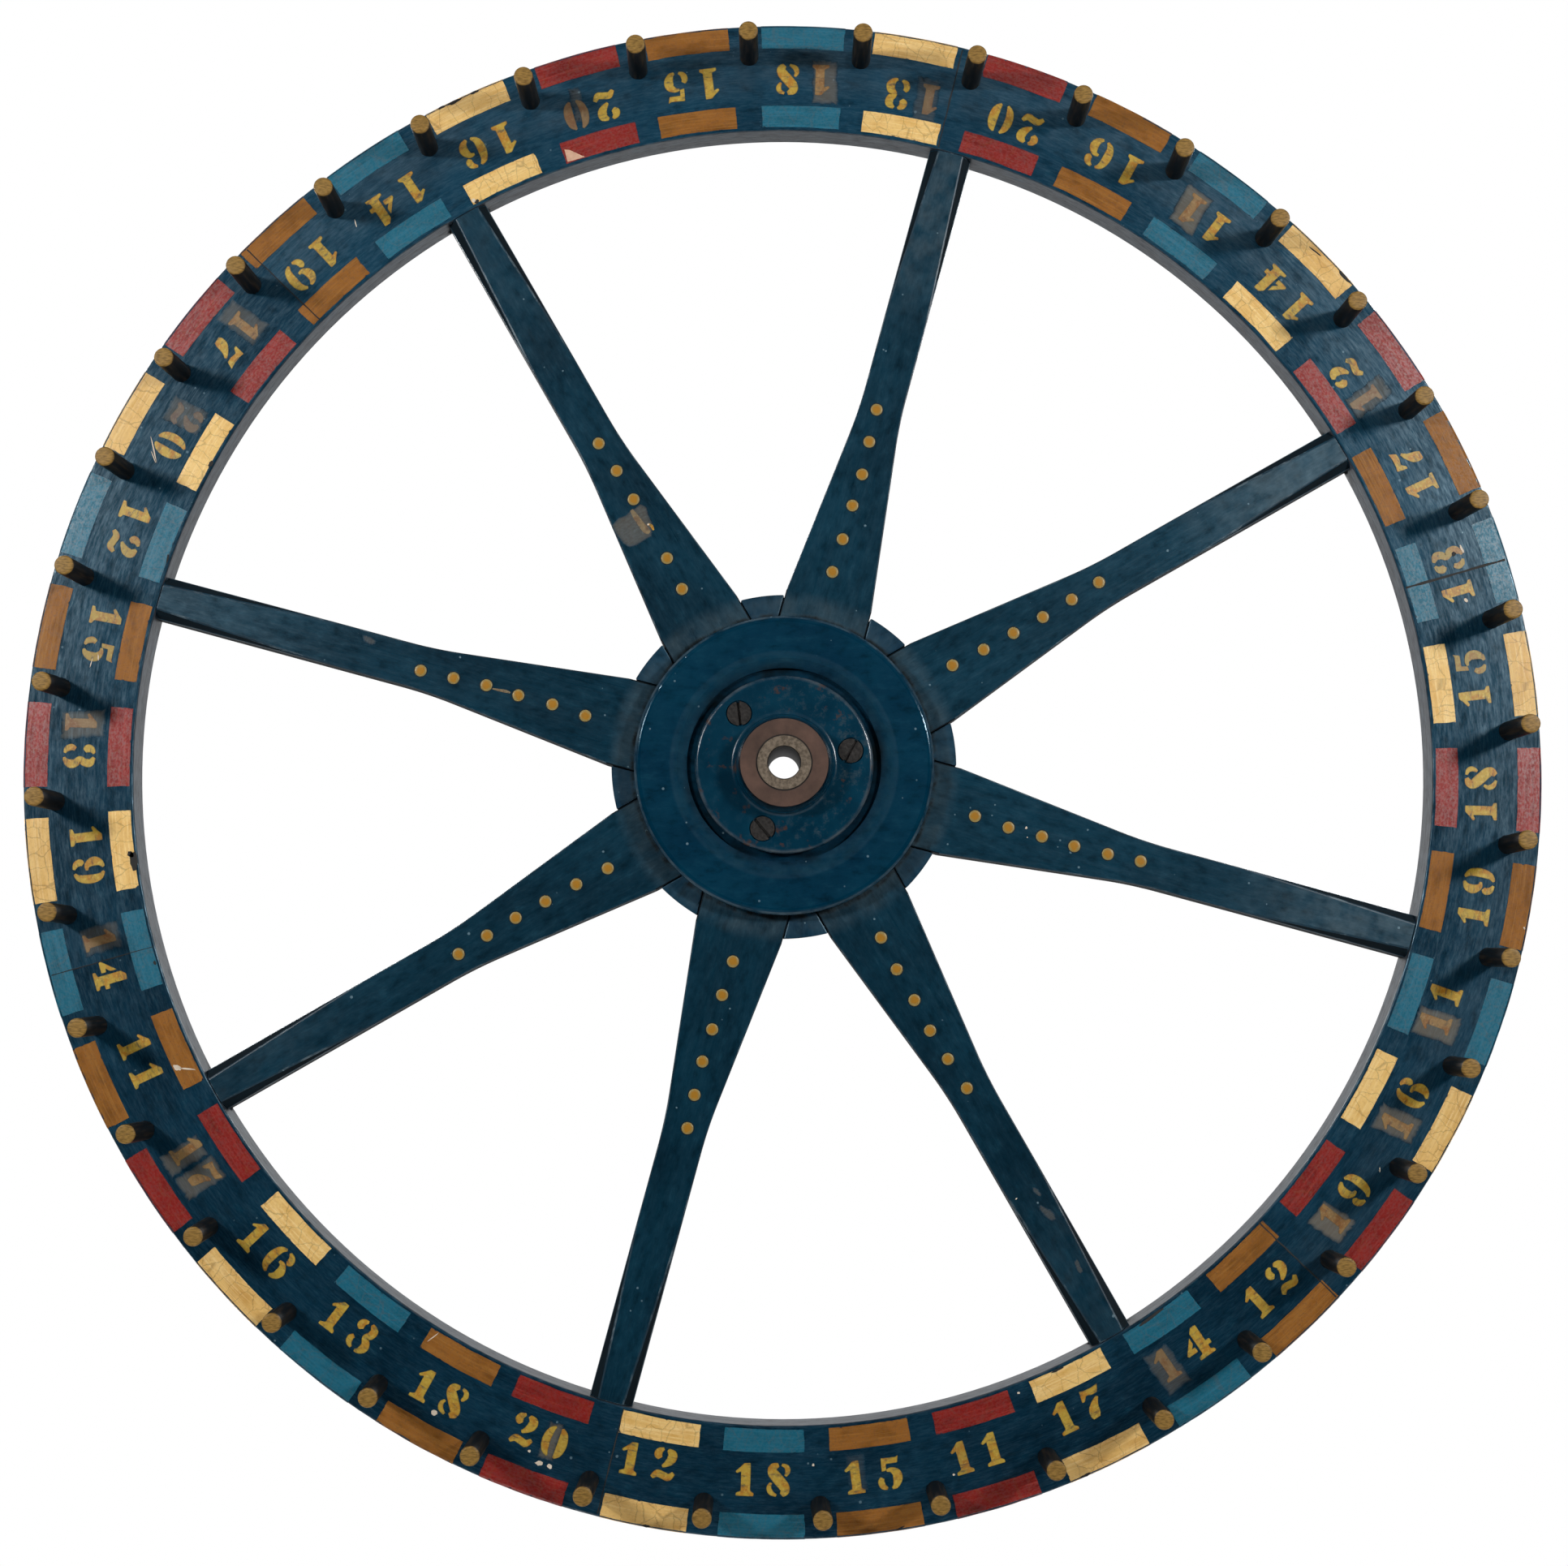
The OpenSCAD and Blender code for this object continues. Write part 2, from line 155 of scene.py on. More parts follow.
# Figures that were painted over and restored, as (segment, place in the number if that figure is dull,
# left and right end of the grey patch, its near and far edge, its lean, and how well it covers, 0 to 1)
RETOUCHED = [
    (0, 0, -16.9, -4.1, 340.0, 363.0, 0.6, 0.6), (1, 0, -14.0, -2.0, 338.0, 361.0, 0.4, 0.25),
    (4, 1, 2.6, 17.8, 341.5, 363.5, 2.6, 0.85), (6, 0, -18.0, -5.7, 339.8, 362.7, 0.8, 0.5),
    (12, 0, -19.6, -4.9, 339.0, 361.4, 0.4, 0.8), (13, 0, -16.6, -3.0, 341.7, 363.8, 1.8, 0.75),
    (14, 0, -20.6, -5.9, 344.0, 363.0, 1.2, 0.95), (16, 0, -18.8, -4.6, 342.0, 364.5, 0.8, 0.4),
    (19, None, -13.6, -4.0, 341.0, 360.0, 0.2, 0.15), (22, None, 0.6, 8.4, 343.0, 361.5, 0.2, 0.7),
    (26, 0, -13.0, -1.2, 343.8, 365.8, -0.5, 0.6), (26, 1, -0.2, 13.2, 342.9, 365.2, -0.4, 0.6),
    (28, 0, -19.4, -5.6, 341.0, 360.5, 0.3, 0.4), (30, 0, -17.4, -3.4, 340.6, 362.7, 2.0, 0.55),
    (33, 0, -17.6, -3.3, 341.0, 361.0, 0.4, 0.45), (34, 0, -17.6, -3.9, 343.8, 367.0, 0.8, 0.5),
    (38, 1, 3.3, 9.4, 346.0, 364.0, -0.4, 0.3),
]

# A patch's border: points along each side, how rough it is, and its levels as (depth, share of the cover)
PATCH_STEPS = 10
PATCH_ROUGH = (-0.7, 0.5)
PATCH_LEVELS = ((0.0, 0.0), (0.9, 0.6), (2.0, 1.0))

# Chips in the paint, as (segment, along the rim, out from the axle, length, width, turn): pale ones show
# the chalk ground, dark ones the bare wood
PALE_CHIPS = [
    (22, 2.6, 364.2, 4.2, 2.4, 15), (22, 8.0, 364.0, 3.0, 2.2, -20), (22, -3.9, 360.4, 1.4, 1.4, 0),
    (23, 2.5, 362.6, 3.2, 2.8, 0), (27, 7.2, 336.8, 4.4, 2.6, 40), (27, 9.8, 332.6, 9.0, 0.8, 60),
    (37, 19.4, 328.8, 2.2, 2.4, 0), (8, -15.9, 354.2, 2.4, 1.6, 30),
    (8, 9.5, 360.0, 5.0, 1.2, 10), (11, -11.0, 379.0, 1.6, 1.0, 20), (18, -18.0, 359.0, 1.2, 1.2, 0),
    (18, 24.0, 330.0, 1.4, 1.2, 0), (20, 24.6, 344.3, 1.3, 1.5, 0), (33, 12.4, 356.5, 13.0, 0.6, 42),
    (33, 15.8, 354.6, 7.0, 0.4, 50), (31, 10.5, 348.6, 3.4, 0.6, 15), (31, 14.0, 351.6, 5.0, 0.4, -5),
    (36, 24.0, 352.0, 5.0, 0.6, 70), (14, 22.0, 357.0, 3.0, 0.5, 40), (23, -16.0, 331.0, 8.0, 0.5, 66),
]
DARK_CHIPS = [
    (29, 6.3, 328.2, 10.0, 4.4, 0), (29, 2.6, 329.6, 4.0, 3.0, 30), (33, 5.0, 327.6, 3.6, 2.2, 0),
    (37, 6.5, 379.8, 8.0, 1.8, 3), (37, -4.5, 380.0, 5.0, 1.4, 0), (37, 14.0, 380.0, 4.0, 1.4, 0),
    (5, -13.5, 379.6, 9.0, 2.0, -3), (5, 6.0, 377.8, 9.0, 0.7, 8), (37, 18.2, 327.8, 2.6, 2.0, 0),
    (17, -15.5, 379.9, 6.0, 1.4, 0), (19, 9.0, 379.6, 5.0, 1.0, 20), (21, 3.0, 380.2, 4.0, 1.4, 0),
    (8, 8.3, 355.3, 2.2, 2.6, 0), (16, -4.0, 328.0, 16.0, 1.8, 2), (28, 6.6, 328.4, 2.4, 1.6, 0),
    (32, 6.0, 327.8, 5.0, 1.0, 10), (17, -6.0, 327.9, 7.0, 1.2, 0),
]

CHIP_POINTS = 14
CHIP_ROUGH = (0.75, 1.1)

# A rosy chip at one end of a red block, as (segment, its corners along the rim and out from the axle)
ROSY_CHIP = (38, [(10.1, 327.9), (19.2, 327.8), (19.0, 334.4), (16.6, 333.6), (13.4, 330.8)])

# Cracks in the paint over the felloes' joints: the width of each, from the first joint on
CRACK_WIDTHS = [0.7, 0.6, 0.5, 0.6, 0.8, 1.3]
CRACK_FILM = 0.2
CRACK_ENDS = (1.0, 1.6)
CRACK_STEPS = 12
CRACK_WANDER = 0.12
CRACK_ROUGH = (0.6, 1.2)

# Gold dots along the spokes: the places of a stencil, as (out from the axle, to the side), how far off it was
# laid on each spoke, and the one dot, as (spoke, place), that is lost under retouching
DOT_D = 5.8
# The dark ring of painted shadow round each dot: its width and its height
DOT_SHADOW_RING = 0.6
DOT_SHADOW_RING_H = 0.04
DOT_SIDES = 24
DOT_DRIFT = 0.2
DOT_SEED = 4
# The dome of a dot, as (share of its radius, height)
DOT_DOME = [(1.0, 0.06), (0.97, 0.14), (0.9, 0.22), (0.7, 0.315), (0.35, 0.35), (0.0, 0.35)]
DOT_STENCIL = [(100.9, 0.7), (118.5, -0.2), (136.1, -0.3), (153.0, -0.8), (169.9, -0.3), (186.7, 0.6)]
DOT_SHIFTS = [
    (0.4, 1.6), (2.1, -0.6), (2.0, 1.0), (1.0, 0.3), (0.1, 0.4), (-2.2, -1.6), (-1.9, 0.0), (-2.2, 1.2),
]
LOST_DOT = (1, 2)

# The retouching over the lost dot, as corners to the side of the spoke's middle and out from the axle
SPOT_CORNERS = [
    (15.0, 149.1), (10.1, 150.7), (6.1, 150.1), (3.1, 150.9), (-0.1, 150.9), (-3.3, 151.4), (-5.0, 148.5),
    (-3.9, 144.1), (-3.6, 139.2), (0.1, 134.1), (4.4, 134.0), (9.0, 133.7), (12.8, 134.7), (14.6, 137.9),
    (15.4, 143.9), (15.4, 147.5),
]
SPOT_LEVELS = ((0.0, 0.0), (0.8, 0.4), (2.0, 0.6))
# Smears of gold paint, as the spoke and points along each smear: (to the side, out from the axle, width)
DULL_SMEARS = [
    (1, [(2.4, 150.9, 1.6), (2.2, 146.5, 2.8), (1.7, 142.0, 3.0), (1.2, 138.5, 3.4), (0.2, 136.2, 1.8)]),
    (2, [(0.9, 151.6, 0.7), (0.7, 148.0, 1.1), (0.4, 144.5, 1.5), (0.6, 142.4, 0.8)]),
]
GOLD_SMEARS = [(1, [(-1.5, 140.6, 0.7), (-2.4, 138.6, 1.4), (-2.2, 136.4, 0.8)])]
# Specks and scuffs, as (spoke, to the side, out from the axle, length, width)
SPOKE_SPECKS = [
    (1, -1.3, 140.2, 1.2, 1.0), (6, 1.9, 125.3, 1.4, 1.2), (6, -2.6, 127.0, 0.7, 0.7),
    (5, -7.0, 244.0, 1.2, 0.8),
]
SPOKE_SCUFFS = [
    (5, 3.0, 258.0, 12.0, 5.0), (5, 3.5, 246.0, 7.0, 3.0), (5, 3.0, 288.0, 8.0, 3.0),
    (2, -6.5, 218.0, 8.0, 4.0),
]
# How far a scuff may lean, how much of its width is soft border, and how well it covers
SCUFF_LEAN = 20
SCUFF_BORDER = 0.3
SCUFF_COVER = 0.4

# The frame's triangles are merged within a reach and joined where they are this flat
MERGE_REACH = 0.002
FLAT_ANGLE = 0.5

# Eased edges of the wood: an edge is eased where it is sharp and this many times as long as its round
SPOKE_EASE = 0.6
BLOCK_EASE = 0.6
SHARP_ANGLE = 25
LONG_EDGE = 5
# Faces of a spoke that take the dark painted shade, by their lean from the front and their area
CHAMFER_LEAN = (30, 60)
CHAMFER_AREA = 100
SIDE_FROM = 80
SIDE_LEAN = 100
# The rounds along a spoke's front are worn from this distance on, and take the painted shade nearer the axle
WORN_FROM = 95
# Boards run this far into their neighbours, in mm at the hub and in degrees at the rim
BLOCK_LAP = 0.7
JOINT_REACH = 0.1

# How pale the paint of each board is, 0 to 1
FELLOE_TONES = [0.45, 0.1, 0.0, 0.0, 0.2, 0.5]
SPOKE_TONES = [0.18, 0.05, 0.05, 0.05, 0.0, 0.05, 0.3, 0.25]

# Pegs lean a little, as old dowels do
PEG_LEAN = 0.9
PEG_TIP_ROUND = 1.0
PEG_TIP_STEPS = 4
PEG_CROWN = 0.02
PEG_CROWN_SHARE = 0.45
PEG_BACK_CUT = 0.4
PEG_RING_STEP = 9
PEG_RINGS = 4
PEG_SIDES = 28
PEG_SEED = 20

# Camera, lamps, floor and surroundings
CAMERA_PLACE = (-7.4, -1224.2, -94.8)
CAMERA_TILT = 4.06
CAMERA_PAN = -0.35
CAMERA_LENS = 55.75
SENSOR_W = 36.0
FLOOR_Z = -950.0
FLOOR_R = 1550.0
FLOOR_SIDES = 96
# The floor's share of white for the eye, and where it grows to all white, as shares of its radius
FLOOR_WHITE = 0.6
FLOOR_FADE = (0.2, 0.9)
# Softboxes, as (name, place, side, power, whether it lights the paint, whether its sheen shows)
LAMPS = [
    ("left_softbox", (-1060, -1040, 380), 180, 11.9, True, False),
    ("right_softbox", (1090, -1040, 380), 180, 12.0, True, False),
    ("top_softbox", (0, -950, 1150), 420, 2.4, True, False),
    ("left_sheen", (-1050, -1060, 420), 200, 17.5, False, True),
    ("right_sheen", (1090, -1060, 420), 200, 27.0, False, True),
    ("back_left_softbox", (-900, 1200, 600), 420, 12.0, True, True),
    ("back_right_softbox", (900, 1200, 600), 420, 12.0, True, True),
]
# Light from all round, and how bright the backdrop, the walls and the ceiling are in the paint's gloss
FILL_LIGHT = 0.03
BACKDROP_GLOSS = 0.6
CEILING_GLOSS = (0.01, 0.3)


# Small helpers

def colour(code):
    """An sRGB hex colour as linear RGBA."""
    shares = [int(code[i:i + 2], 16) / 255 for i in (1, 3, 5)]
    return [s / 12.92 if s <= 0.04045 else ((s + 0.055) / 1.055) ** 2.4 for s in shares] + [1.0]


def wire(tree, node, inputs):
    """Fills a node's inputs, by name or place, with values, hex colours, sockets or nodes' first outputs."""
    for key, value in inputs.items():
        if isinstance(key, int):
            socket = node.inputs[key]
        else:
            socket = next(s for s in node.inputs if s.name == key and s.enabled)
        if isinstance(value, bpy.types.Node):
            value = next(s for s in value.outputs if s.enabled)
        if isinstance(value, bpy.types.NodeSocket):
            tree.links.new(value, socket)
        elif isinstance(value, str) and value.startswith("#"):
            socket.default_value = colour(value)
        else:
            socket.default_value = value


def add(tree, kind, inputs=None, **settings):
    """Adds a node with its settings and inputs. A shader node's kind is its name without ShaderNode."""
    node = tree.nodes.new(kind if "Node" in kind else "ShaderNode" + kind)
    for name, value in settings.items():
        setattr(node, name, value)
    wire(tree, node, inputs or {})
    return node


def new_tree(name, kind, inputs, outputs):
    """An empty node group of a kind, Shader or Geometry: its tree, its inputs and its output node."""
    tree = bpy.data.node_groups.new(name, kind + "NodeTree")
    for sockets, side in ((inputs, "INPUT"), (outputs, "OUTPUT")):
        for label, socket in sockets.items():
            tree.interface.new_socket(label, in_out=side, socket_type="NodeSocket" + socket)
    return tree, tree.nodes.new("NodeGroupInput").outputs, tree.nodes.new("NodeGroupOutput")


def new_piece(name, mesh):
    piece = bpy.data.objects.new(name, mesh)
    bpy.context.scene.collection.objects.link(piece)
    return piece


def settled(name, draft, modifier):
    """The plain piece that a draft's one modifier makes; the draft goes."""
    shown = draft.evaluated_get(bpy.context.evaluated_depsgraph_get())
    mesh = bpy.data.meshes.new_from_object(shown)
    draft.modifiers.remove(modifier)
    bpy.data.objects.remove(draft)
    return new_piece(name, mesh)


def grown(name, tree, sizes):
    """The piece that a geometry tree makes with these sizes."""
    draft = new_piece(name + ".draft", bpy.data.meshes.new(name + ".draft"))
    modifier = draft.modifiers.new("tree", "NODES")
    modifier.node_group = tree
    sockets = {s.name: s.identifier for s in tree.interface.items_tree if s.in_out == "INPUT"}
    for label, value in sizes.items():
        modifier[sockets[label]] = value
    return settled(name, draft, modifier)


def hand_over(piece, nodes=()):
    """Lets a finished piece turn with the wheel, and stand for the nodes that it dresses."""
    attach(piece, "wheel")
    if nodes:
        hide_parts(*nodes)


def smooth_shaded(mesh, crease=35):
    mesh.polygons.foreach_set("use_smooth", [True] * len(mesh.polygons))
    mesh.set_sharp_from_angle(angle=math.radians(crease))


# Shader groups: where a point lies on the wood, and the old blue paint

def grain_group(name, apart, round_rim):
    """Place on a board in mm: along its grain, across it and through it. Boards of other turns lie apart."""
    tree, _, out = new_tree(name, "Shader", {}, {"Grain": "Vector"})
    place = add(tree, "TexCoord").outputs["Object"]
    turn = add(tree, "Attribute", attribute_name="turn").outputs["Fac"]
    turned = add(tree, "VectorRotate", {"Vector": place, "Angle": turn}, rotation_type="Y_AXIS")
    part = add(tree, "SeparateXYZ", {0: turned}).outputs
    along, across = part["X"], part["Z"]
    if round_rim:
        angle = add(tree, "Math", {0: part["Z"], 1: part["X"]}, operation="ARCTAN2")
        along = add(tree, "Math", {0: angle, 1: RIM_MID * MM}, operation="MULTIPLY")
        flat = add(tree, "VectorMath", {0: turned, 1: (1, 0, 1)}, operation="MULTIPLY")
        across = add(tree, "VectorMath", {0: flat}, operation="LENGTH")
    shifted = add(tree, "Math", {0: turn, 1: apart * MM, 2: along}, operation="MULTIPLY_ADD")
    metres = add(tree, "CombineXYZ", {"X": shifted, "Y": across, "Z": part["Y"]})
    grain = add(tree, "VectorMath", {0: metres, "Scale": 1 / MM}, operation="SCALE")
    wire(tree, out, {"Grain": grain})
    return tree


def sized_noise(tree, place, forms, detail, roughness=0.5):
    """Noise whose forms have these three sizes, in the units of the place."""
    scaled = add(tree, "VectorMath", {0: place, 1: [1 / size for size in forms]}, operation="MULTIPLY")
    return add(tree, "TexNoise", {"Vector": scaled, "Scale": 1.0, "Detail": detail, "Roughness": roughness})


def coats(tree, tint, layers):
    """Lays coats on a colour: each grows as a value runs from low to high, and covers at most a share."""
    for value, low, high, most, coat in layers:
        share = add(tree, "MapRange", {"Value": value, "From Min": low, "From Max": high, "To Max": most})
        tint = add(tree, "Mix", {"Factor": share, "A": tint, "B": coat}, data_type="RGBA")
    return tint


def blue_paint_group():
    """Old oil paint in Prussian blue: cloudy, mottled, brushed along the grain, with dust and dull spots."""
    tree, given, out = new_tree(
        "old_blue_paint", "Shader",
        {"Grain": "Vector", "Deep": "Color", "Pale": "Color", "Streak": "Float", "Dust": "Float"},
        {"Color": "Color", "Roughness": "Float", "Gloss": "Float", "Height": "Float"},
    )
    grain = given["Grain"]
    # Clouds where the paint is thicker or thinner; a board's own tone makes all of it paler
    tone = add(tree, "Attribute", attribute_name="tone").outputs["Fac"]
    cloud = sized_noise(tree, grain, (40, 25, 25), 3.0)
    thinner = add(tree, "MapRange", {"Value": cloud, "From Min": 0.35, "From Max": 0.65, "To Max": 0.5})
    cloudy = add(tree, "Math", {0: thinner, 1: tone}, operation="ADD", use_clamp=True)
    blue = add(tree, "Mix", {"Factor": cloudy, "A": given["Deep"], "B": given["Pale"]}, data_type="RGBA")
    # Mottling, brush streaks 1.5 mm wide and 80 mm long, and dust specks, one in a few cells of 6 mm
    mottle = sized_noise(tree, grain, (9, 5, 5), 5.0, 0.65)
    streak = sized_noise(tree, grain, (80, 1.5, 1.5), 4.0, 0.6)
    speck_at = add(tree, "VectorMath", {0: grain, 1: (1 / 6, 1 / 6, 1 / 6)}, operation="MULTIPLY")
    speck = add(tree, "TexVoronoi", {"Vector": speck_at, "Scale": 1.0}).outputs
    chance = add(tree, "SeparateColor", {0: speck["Color"]})
    size = add(tree, "MapRange", {"Value": chance, "From Min": 0.6, "From Max": 1.0, "To Max": 0.14})
    closeness = add(tree, "Math", {0: size, 1: speck["Distance"]}, operation="SUBTRACT")
    tint = coats(tree, blue, [
        (mottle, 0.48, 0.3, 0.6, "#02121b"),
        (mottle, 0.56, 0.72, 0.4, "#0d4053"),
        (streak, 0.5, 0.8, given["Streak"], "#0d3a4f"),
        (closeness, 0.0, 0.04, given["Dust"], "#86a3b0"),
    ])
    # Fine brush marks that catch the light, 0.9 mm wide, as strong as the streaks, under a patchy sheen
    mark = sized_noise(tree, grain, (6, 0.9, 0.9), 4.0, 0.7)
    marks = add(
        tree, "MapRange", {"Value": mark, "From Min": 0.4, "From Max": 0.68, "To Min": 0.3, "To Max": 2.2}
    )
    strength = add(tree, "Math", {0: given["Streak"], 1: 3.0}, operation="MULTIPLY", use_clamp=True)
    brushed = add(tree, "Mix", {"Factor": strength, "A": 1.0, "B": marks})
    patchy = add(
        tree, "MapRange", {"Value": mottle, "From Min": 0.3, "From Max": 0.7, "To Min": 0.5, "To Max": 1.5}
    )
    gloss = add(tree, "Math", {0: brushed, 1: patchy}, operation="MULTIPLY")
    rough = add(
        tree, "MapRange", {"Value": streak, "From Min": 0.3, "From Max": 0.7, "To Min": 0.27, "To Max": 0.36}
    )
    height = add(tree, "Math", {0: cloud, 1: 0.6, 2: streak}, operation="MULTIPLY_ADD")
    wire(tree, out, {"Color": tint, "Roughness": rough, "Gloss": gloss, "Height": height})
    return tree


RIM_BLUES = ("#032334", "#123b50", 0.3, 0.35)
SPOKE_BLUES = ("#022231", "#0b384b", 0.1, 0.5)
HUB_BLUES = ("#00273c", "#04384e", 0.04, 0.5)
BRUSHED_SHEEN = "#b5d3e2"
BRUSH_RELIEF = 0.012
# How far apart the grain of two boards lies, for a turn of one radian between them
RIM_GRAIN_APART = 3 * RIM_MID
BOARD_GRAIN_APART = 1000
RIM_GRAIN = grain_group("rim_grain", RIM_GRAIN_APART, True)
STRAIGHT_GRAIN = grain_group("straight_grain", BOARD_GRAIN_APART, False)
BLUE_PAINT = blue_paint_group()


# Materials

def new_material(name):
    material = bpy.data.materials.new(name)
    material.use_nodes = True
    tree = material.node_tree
    return material, tree, tree.nodes["Principled BSDF"]


def blue_paint(tree, grain, blues):
    """The old blue paint in a material, from its deep and pale blue and its shares of streaks and dust."""
    deep, pale, streak, dust = blues
    return add(
        tree, "Group",
        {"Grain": grain, "Deep": deep, "Pale": pale, "Streak": streak, "Dust": dust},
        node_tree=BLUE_PAINT,
    )


def ring_share(tree, near, far, soft):
    """1 between two distances from the axle, falling to 0 over a soft border."""
    place = add(tree, "TexCoord").outputs["Object"]
    flat = add(tree, "VectorMath", {0: place, 1: (1, 0, 1)}, operation="MULTIPLY")
    radius = add(tree, "VectorMath", {0: flat}, operation="LENGTH")
    rise = add(tree, "MapRange", {"Value": radius, "From Min": (near - soft) * MM, "From Max": near * MM})
    fall = add(
        tree, "MapRange",
        {"Value": radius, "From Min": far * MM, "From Max": (far + soft) * MM, "To Min": 1.0, "To Max": 0.0},
    )
    return add(tree, "Math", {0: rise, 1: fall}, operation="MULTIPLY")


def set_surface(tree, shader, tint, roughness, gloss, height, depth):
    """Gives a shader its colour, roughness and gloss, and turns a height of 0 to 1 into relief in mm."""
    relief = add(tree, "Bump", {"Height": height, "Distance": depth * MM})
    wire(tree, shader, {"Base Color": tint, "Roughness": roughness, "Specular IOR Level": gloss})
    wire(tree, shader, {"Normal": relief})


def painted_wood(name, grain_group, blues, gloss, worn_edges=(), rings=()):
    """Satin oil paint on wood, streaked by brush and grain, pale at rubbed edges, with rings of dirt and
    painted light.
    """
    material, tree, shader = new_material(name)
    grain = add(tree, "Group", node_tree=grain_group)
    part = add(tree, "SeparateXYZ", {0: grain}).outputs
    paint = blue_paint(tree, grain, blues).outputs
    tint = paint["Color"]
    for near, far, bare, share in worn_edges:
        rub = sized_noise(tree, grain, (16, 2, 2), 5.0, 0.7)
        edge = add(tree, "MapRange", {"Value": part["Y"], "From Min": near, "From Max": far})
        worn = add(tree, "Math", {0: edge, 1: rub}, operation="MULTIPLY")
        tint = coats(tree, tint, [(worn, 0.3, 0.5, share, bare)])
    roughness = paint["Roughness"]
    # Rings lay dirt and dust, and also painted shade, shadow, sheen and highlight
    for near, far, soft, ring_tint, share, dull, spot_size, by_tone in rings:
        ring = ring_share(tree, near, far, soft)
        if by_tone:
            tone = add(tree, "Attribute", attribute_name="tone").outputs["Fac"]
            more = add(tree, "Math", {0: tone, 1: by_tone}, operation="MULTIPLY", use_clamp=True)
            ring = add(tree, "Math", {0: ring, 1: more}, operation="MULTIPLY")
        spot = sized_noise(tree, grain, (spot_size, spot_size, spot_size), 5.0, 0.6)
        patchy = add(tree, "MapRange", {"Value": spot, "From Min": 0.35, "From Max": 0.7, "To Max": share})
        dirt = add(tree, "Math", {0: ring, 1: patchy}, operation="MULTIPLY")
        tint = add(tree, "Mix", {"Factor": dirt, "A": tint, "B": ring_tint}, data_type="RGBA")
        roughness = add(tree, "Mix", {"Factor": ring, "A": roughness, "B": dull})
    # A dark line where two layers of wood meet
    off = add(tree, "Math", {0: part["Z"]}, operation="ABSOLUTE")
    seamed = coats(tree, tint, [(off, 0.5, 0.2, 0.8, "#0a0d10")])
    sheen = add(tree, "Math", {0: paint["Gloss"], 1: gloss}, operation="MULTIPLY")
    set_surface(tree, shader, seamed, roughness, sheen, paint["Height"], BRUSH_RELIEF)
    wire(tree, shader, {"Specular Tint": BRUSHED_SHEEN})
    return material


def spoke_side_painted_shade():
    """Dark matt navy on the spokes' chamfers and sides, a painted shade, rubbed to the blue below."""
    material, tree, shader = new_material("spoke_side_painted_shade")
    grain = add(tree, "Group", node_tree=STRAIGHT_GRAIN)
    rub = sized_noise(tree, grain, (30, 2, 2), 4.0)
    # Darker than the blue of the spoke's face: painted shade
    tint = coats(tree, "#03121a", [(rub, 0.5, 0.8, 0.6, "#08222e")])
    set_surface(tree, shader, tint, 0.7, 0.12, rub, 0.02)
    return material


def worn_edge_paint():
    """Blue paint rubbed to pale undercoat along an edge, in runs of 5 to 30 mm."""
    material, tree, shader = new_material("rubbed_edge_paint")
    grain = add(tree, "Group", node_tree=STRAIGHT_GRAIN)
    rub = sized_noise(tree, grain, (14, 4, 4), 5.0, 0.7)
    tint = coats(tree, blue_paint(tree, grain, SPOKE_BLUES), [(rub, 0.52, 0.68, 0.6, "#74858d")])
    set_surface(tree, shader, tint, 0.45, 0.3, rub, 0.04)
    return material


def block_paint(name, main, dark, light, crackle, gloss):
    """Flat oil colour of a block: brushed along the rim, grainy, cracked with age, chipped at its border."""
    material, tree, shader = new_material(name)
    grain = add(tree, "Group", node_tree=RIM_GRAIN)
    cloud = sized_noise(tree, grain, (12, 6, 1), 5.0, 0.65)
    streak = sized_noise(tree, grain, (25, 0.9, 1), 4.0, 0.65)
    # Grains of pigment, 1 mm wide
    grit = sized_noise(tree, grain, (1.4, 1, 1), 3.0, 0.6)
    # Cracks: cells 7 mm wide that run across the block, bent by the clouds
    sway = add(tree, "VectorMath", {0: cloud.outputs["Color"], "Scale": 5.0}, operation="SCALE")
    bent = add(tree, "VectorMath", {0: sway, 1: grain}, operation="ADD")
    cell_at = add(tree, "VectorMath", {0: bent, 1: (1 / 7, 1 / 12, 0)}, operation="MULTIPLY")
    cell = add(tree, "TexVoronoi", {"Vector": cell_at, "Scale": 1.0}, feature="DISTANCE_TO_EDGE")
    # Chips at the border, down to the blue
    border = add(tree, "Attribute", attribute_name="border").outputs["Fac"]
    chip = sized_noise(tree, grain, (3, 3, 3), 4.0)
    reach = add(tree, "Math", {0: chip, 1: -4.0, 2: border}, operation="MULTIPLY_ADD")
    tint = coats(tree, main, [
        (cloud, 0.45, 0.72, 0.9, dark),
        (streak, 0.48, 0.72, 0.8, light),
        (grit, 0.52, 0.7, 0.6, dark),
        (cell, 0.03, 0.004, crackle, "#7a5226"),
        (reach, -2.2, -2.6, 1.0, blue_paint(tree, grain, RIM_BLUES)),
    ])
    sparkle = add(
        tree, "MapRange",
        {"Value": grit, "From Min": 0.4, "From Max": 0.68, "To Min": 0.5 * gloss, "To Max": 1.8 * gloss},
    )
    set_surface(tree, shader, tint, 0.34, sparkle, streak, 0.02)
    return material


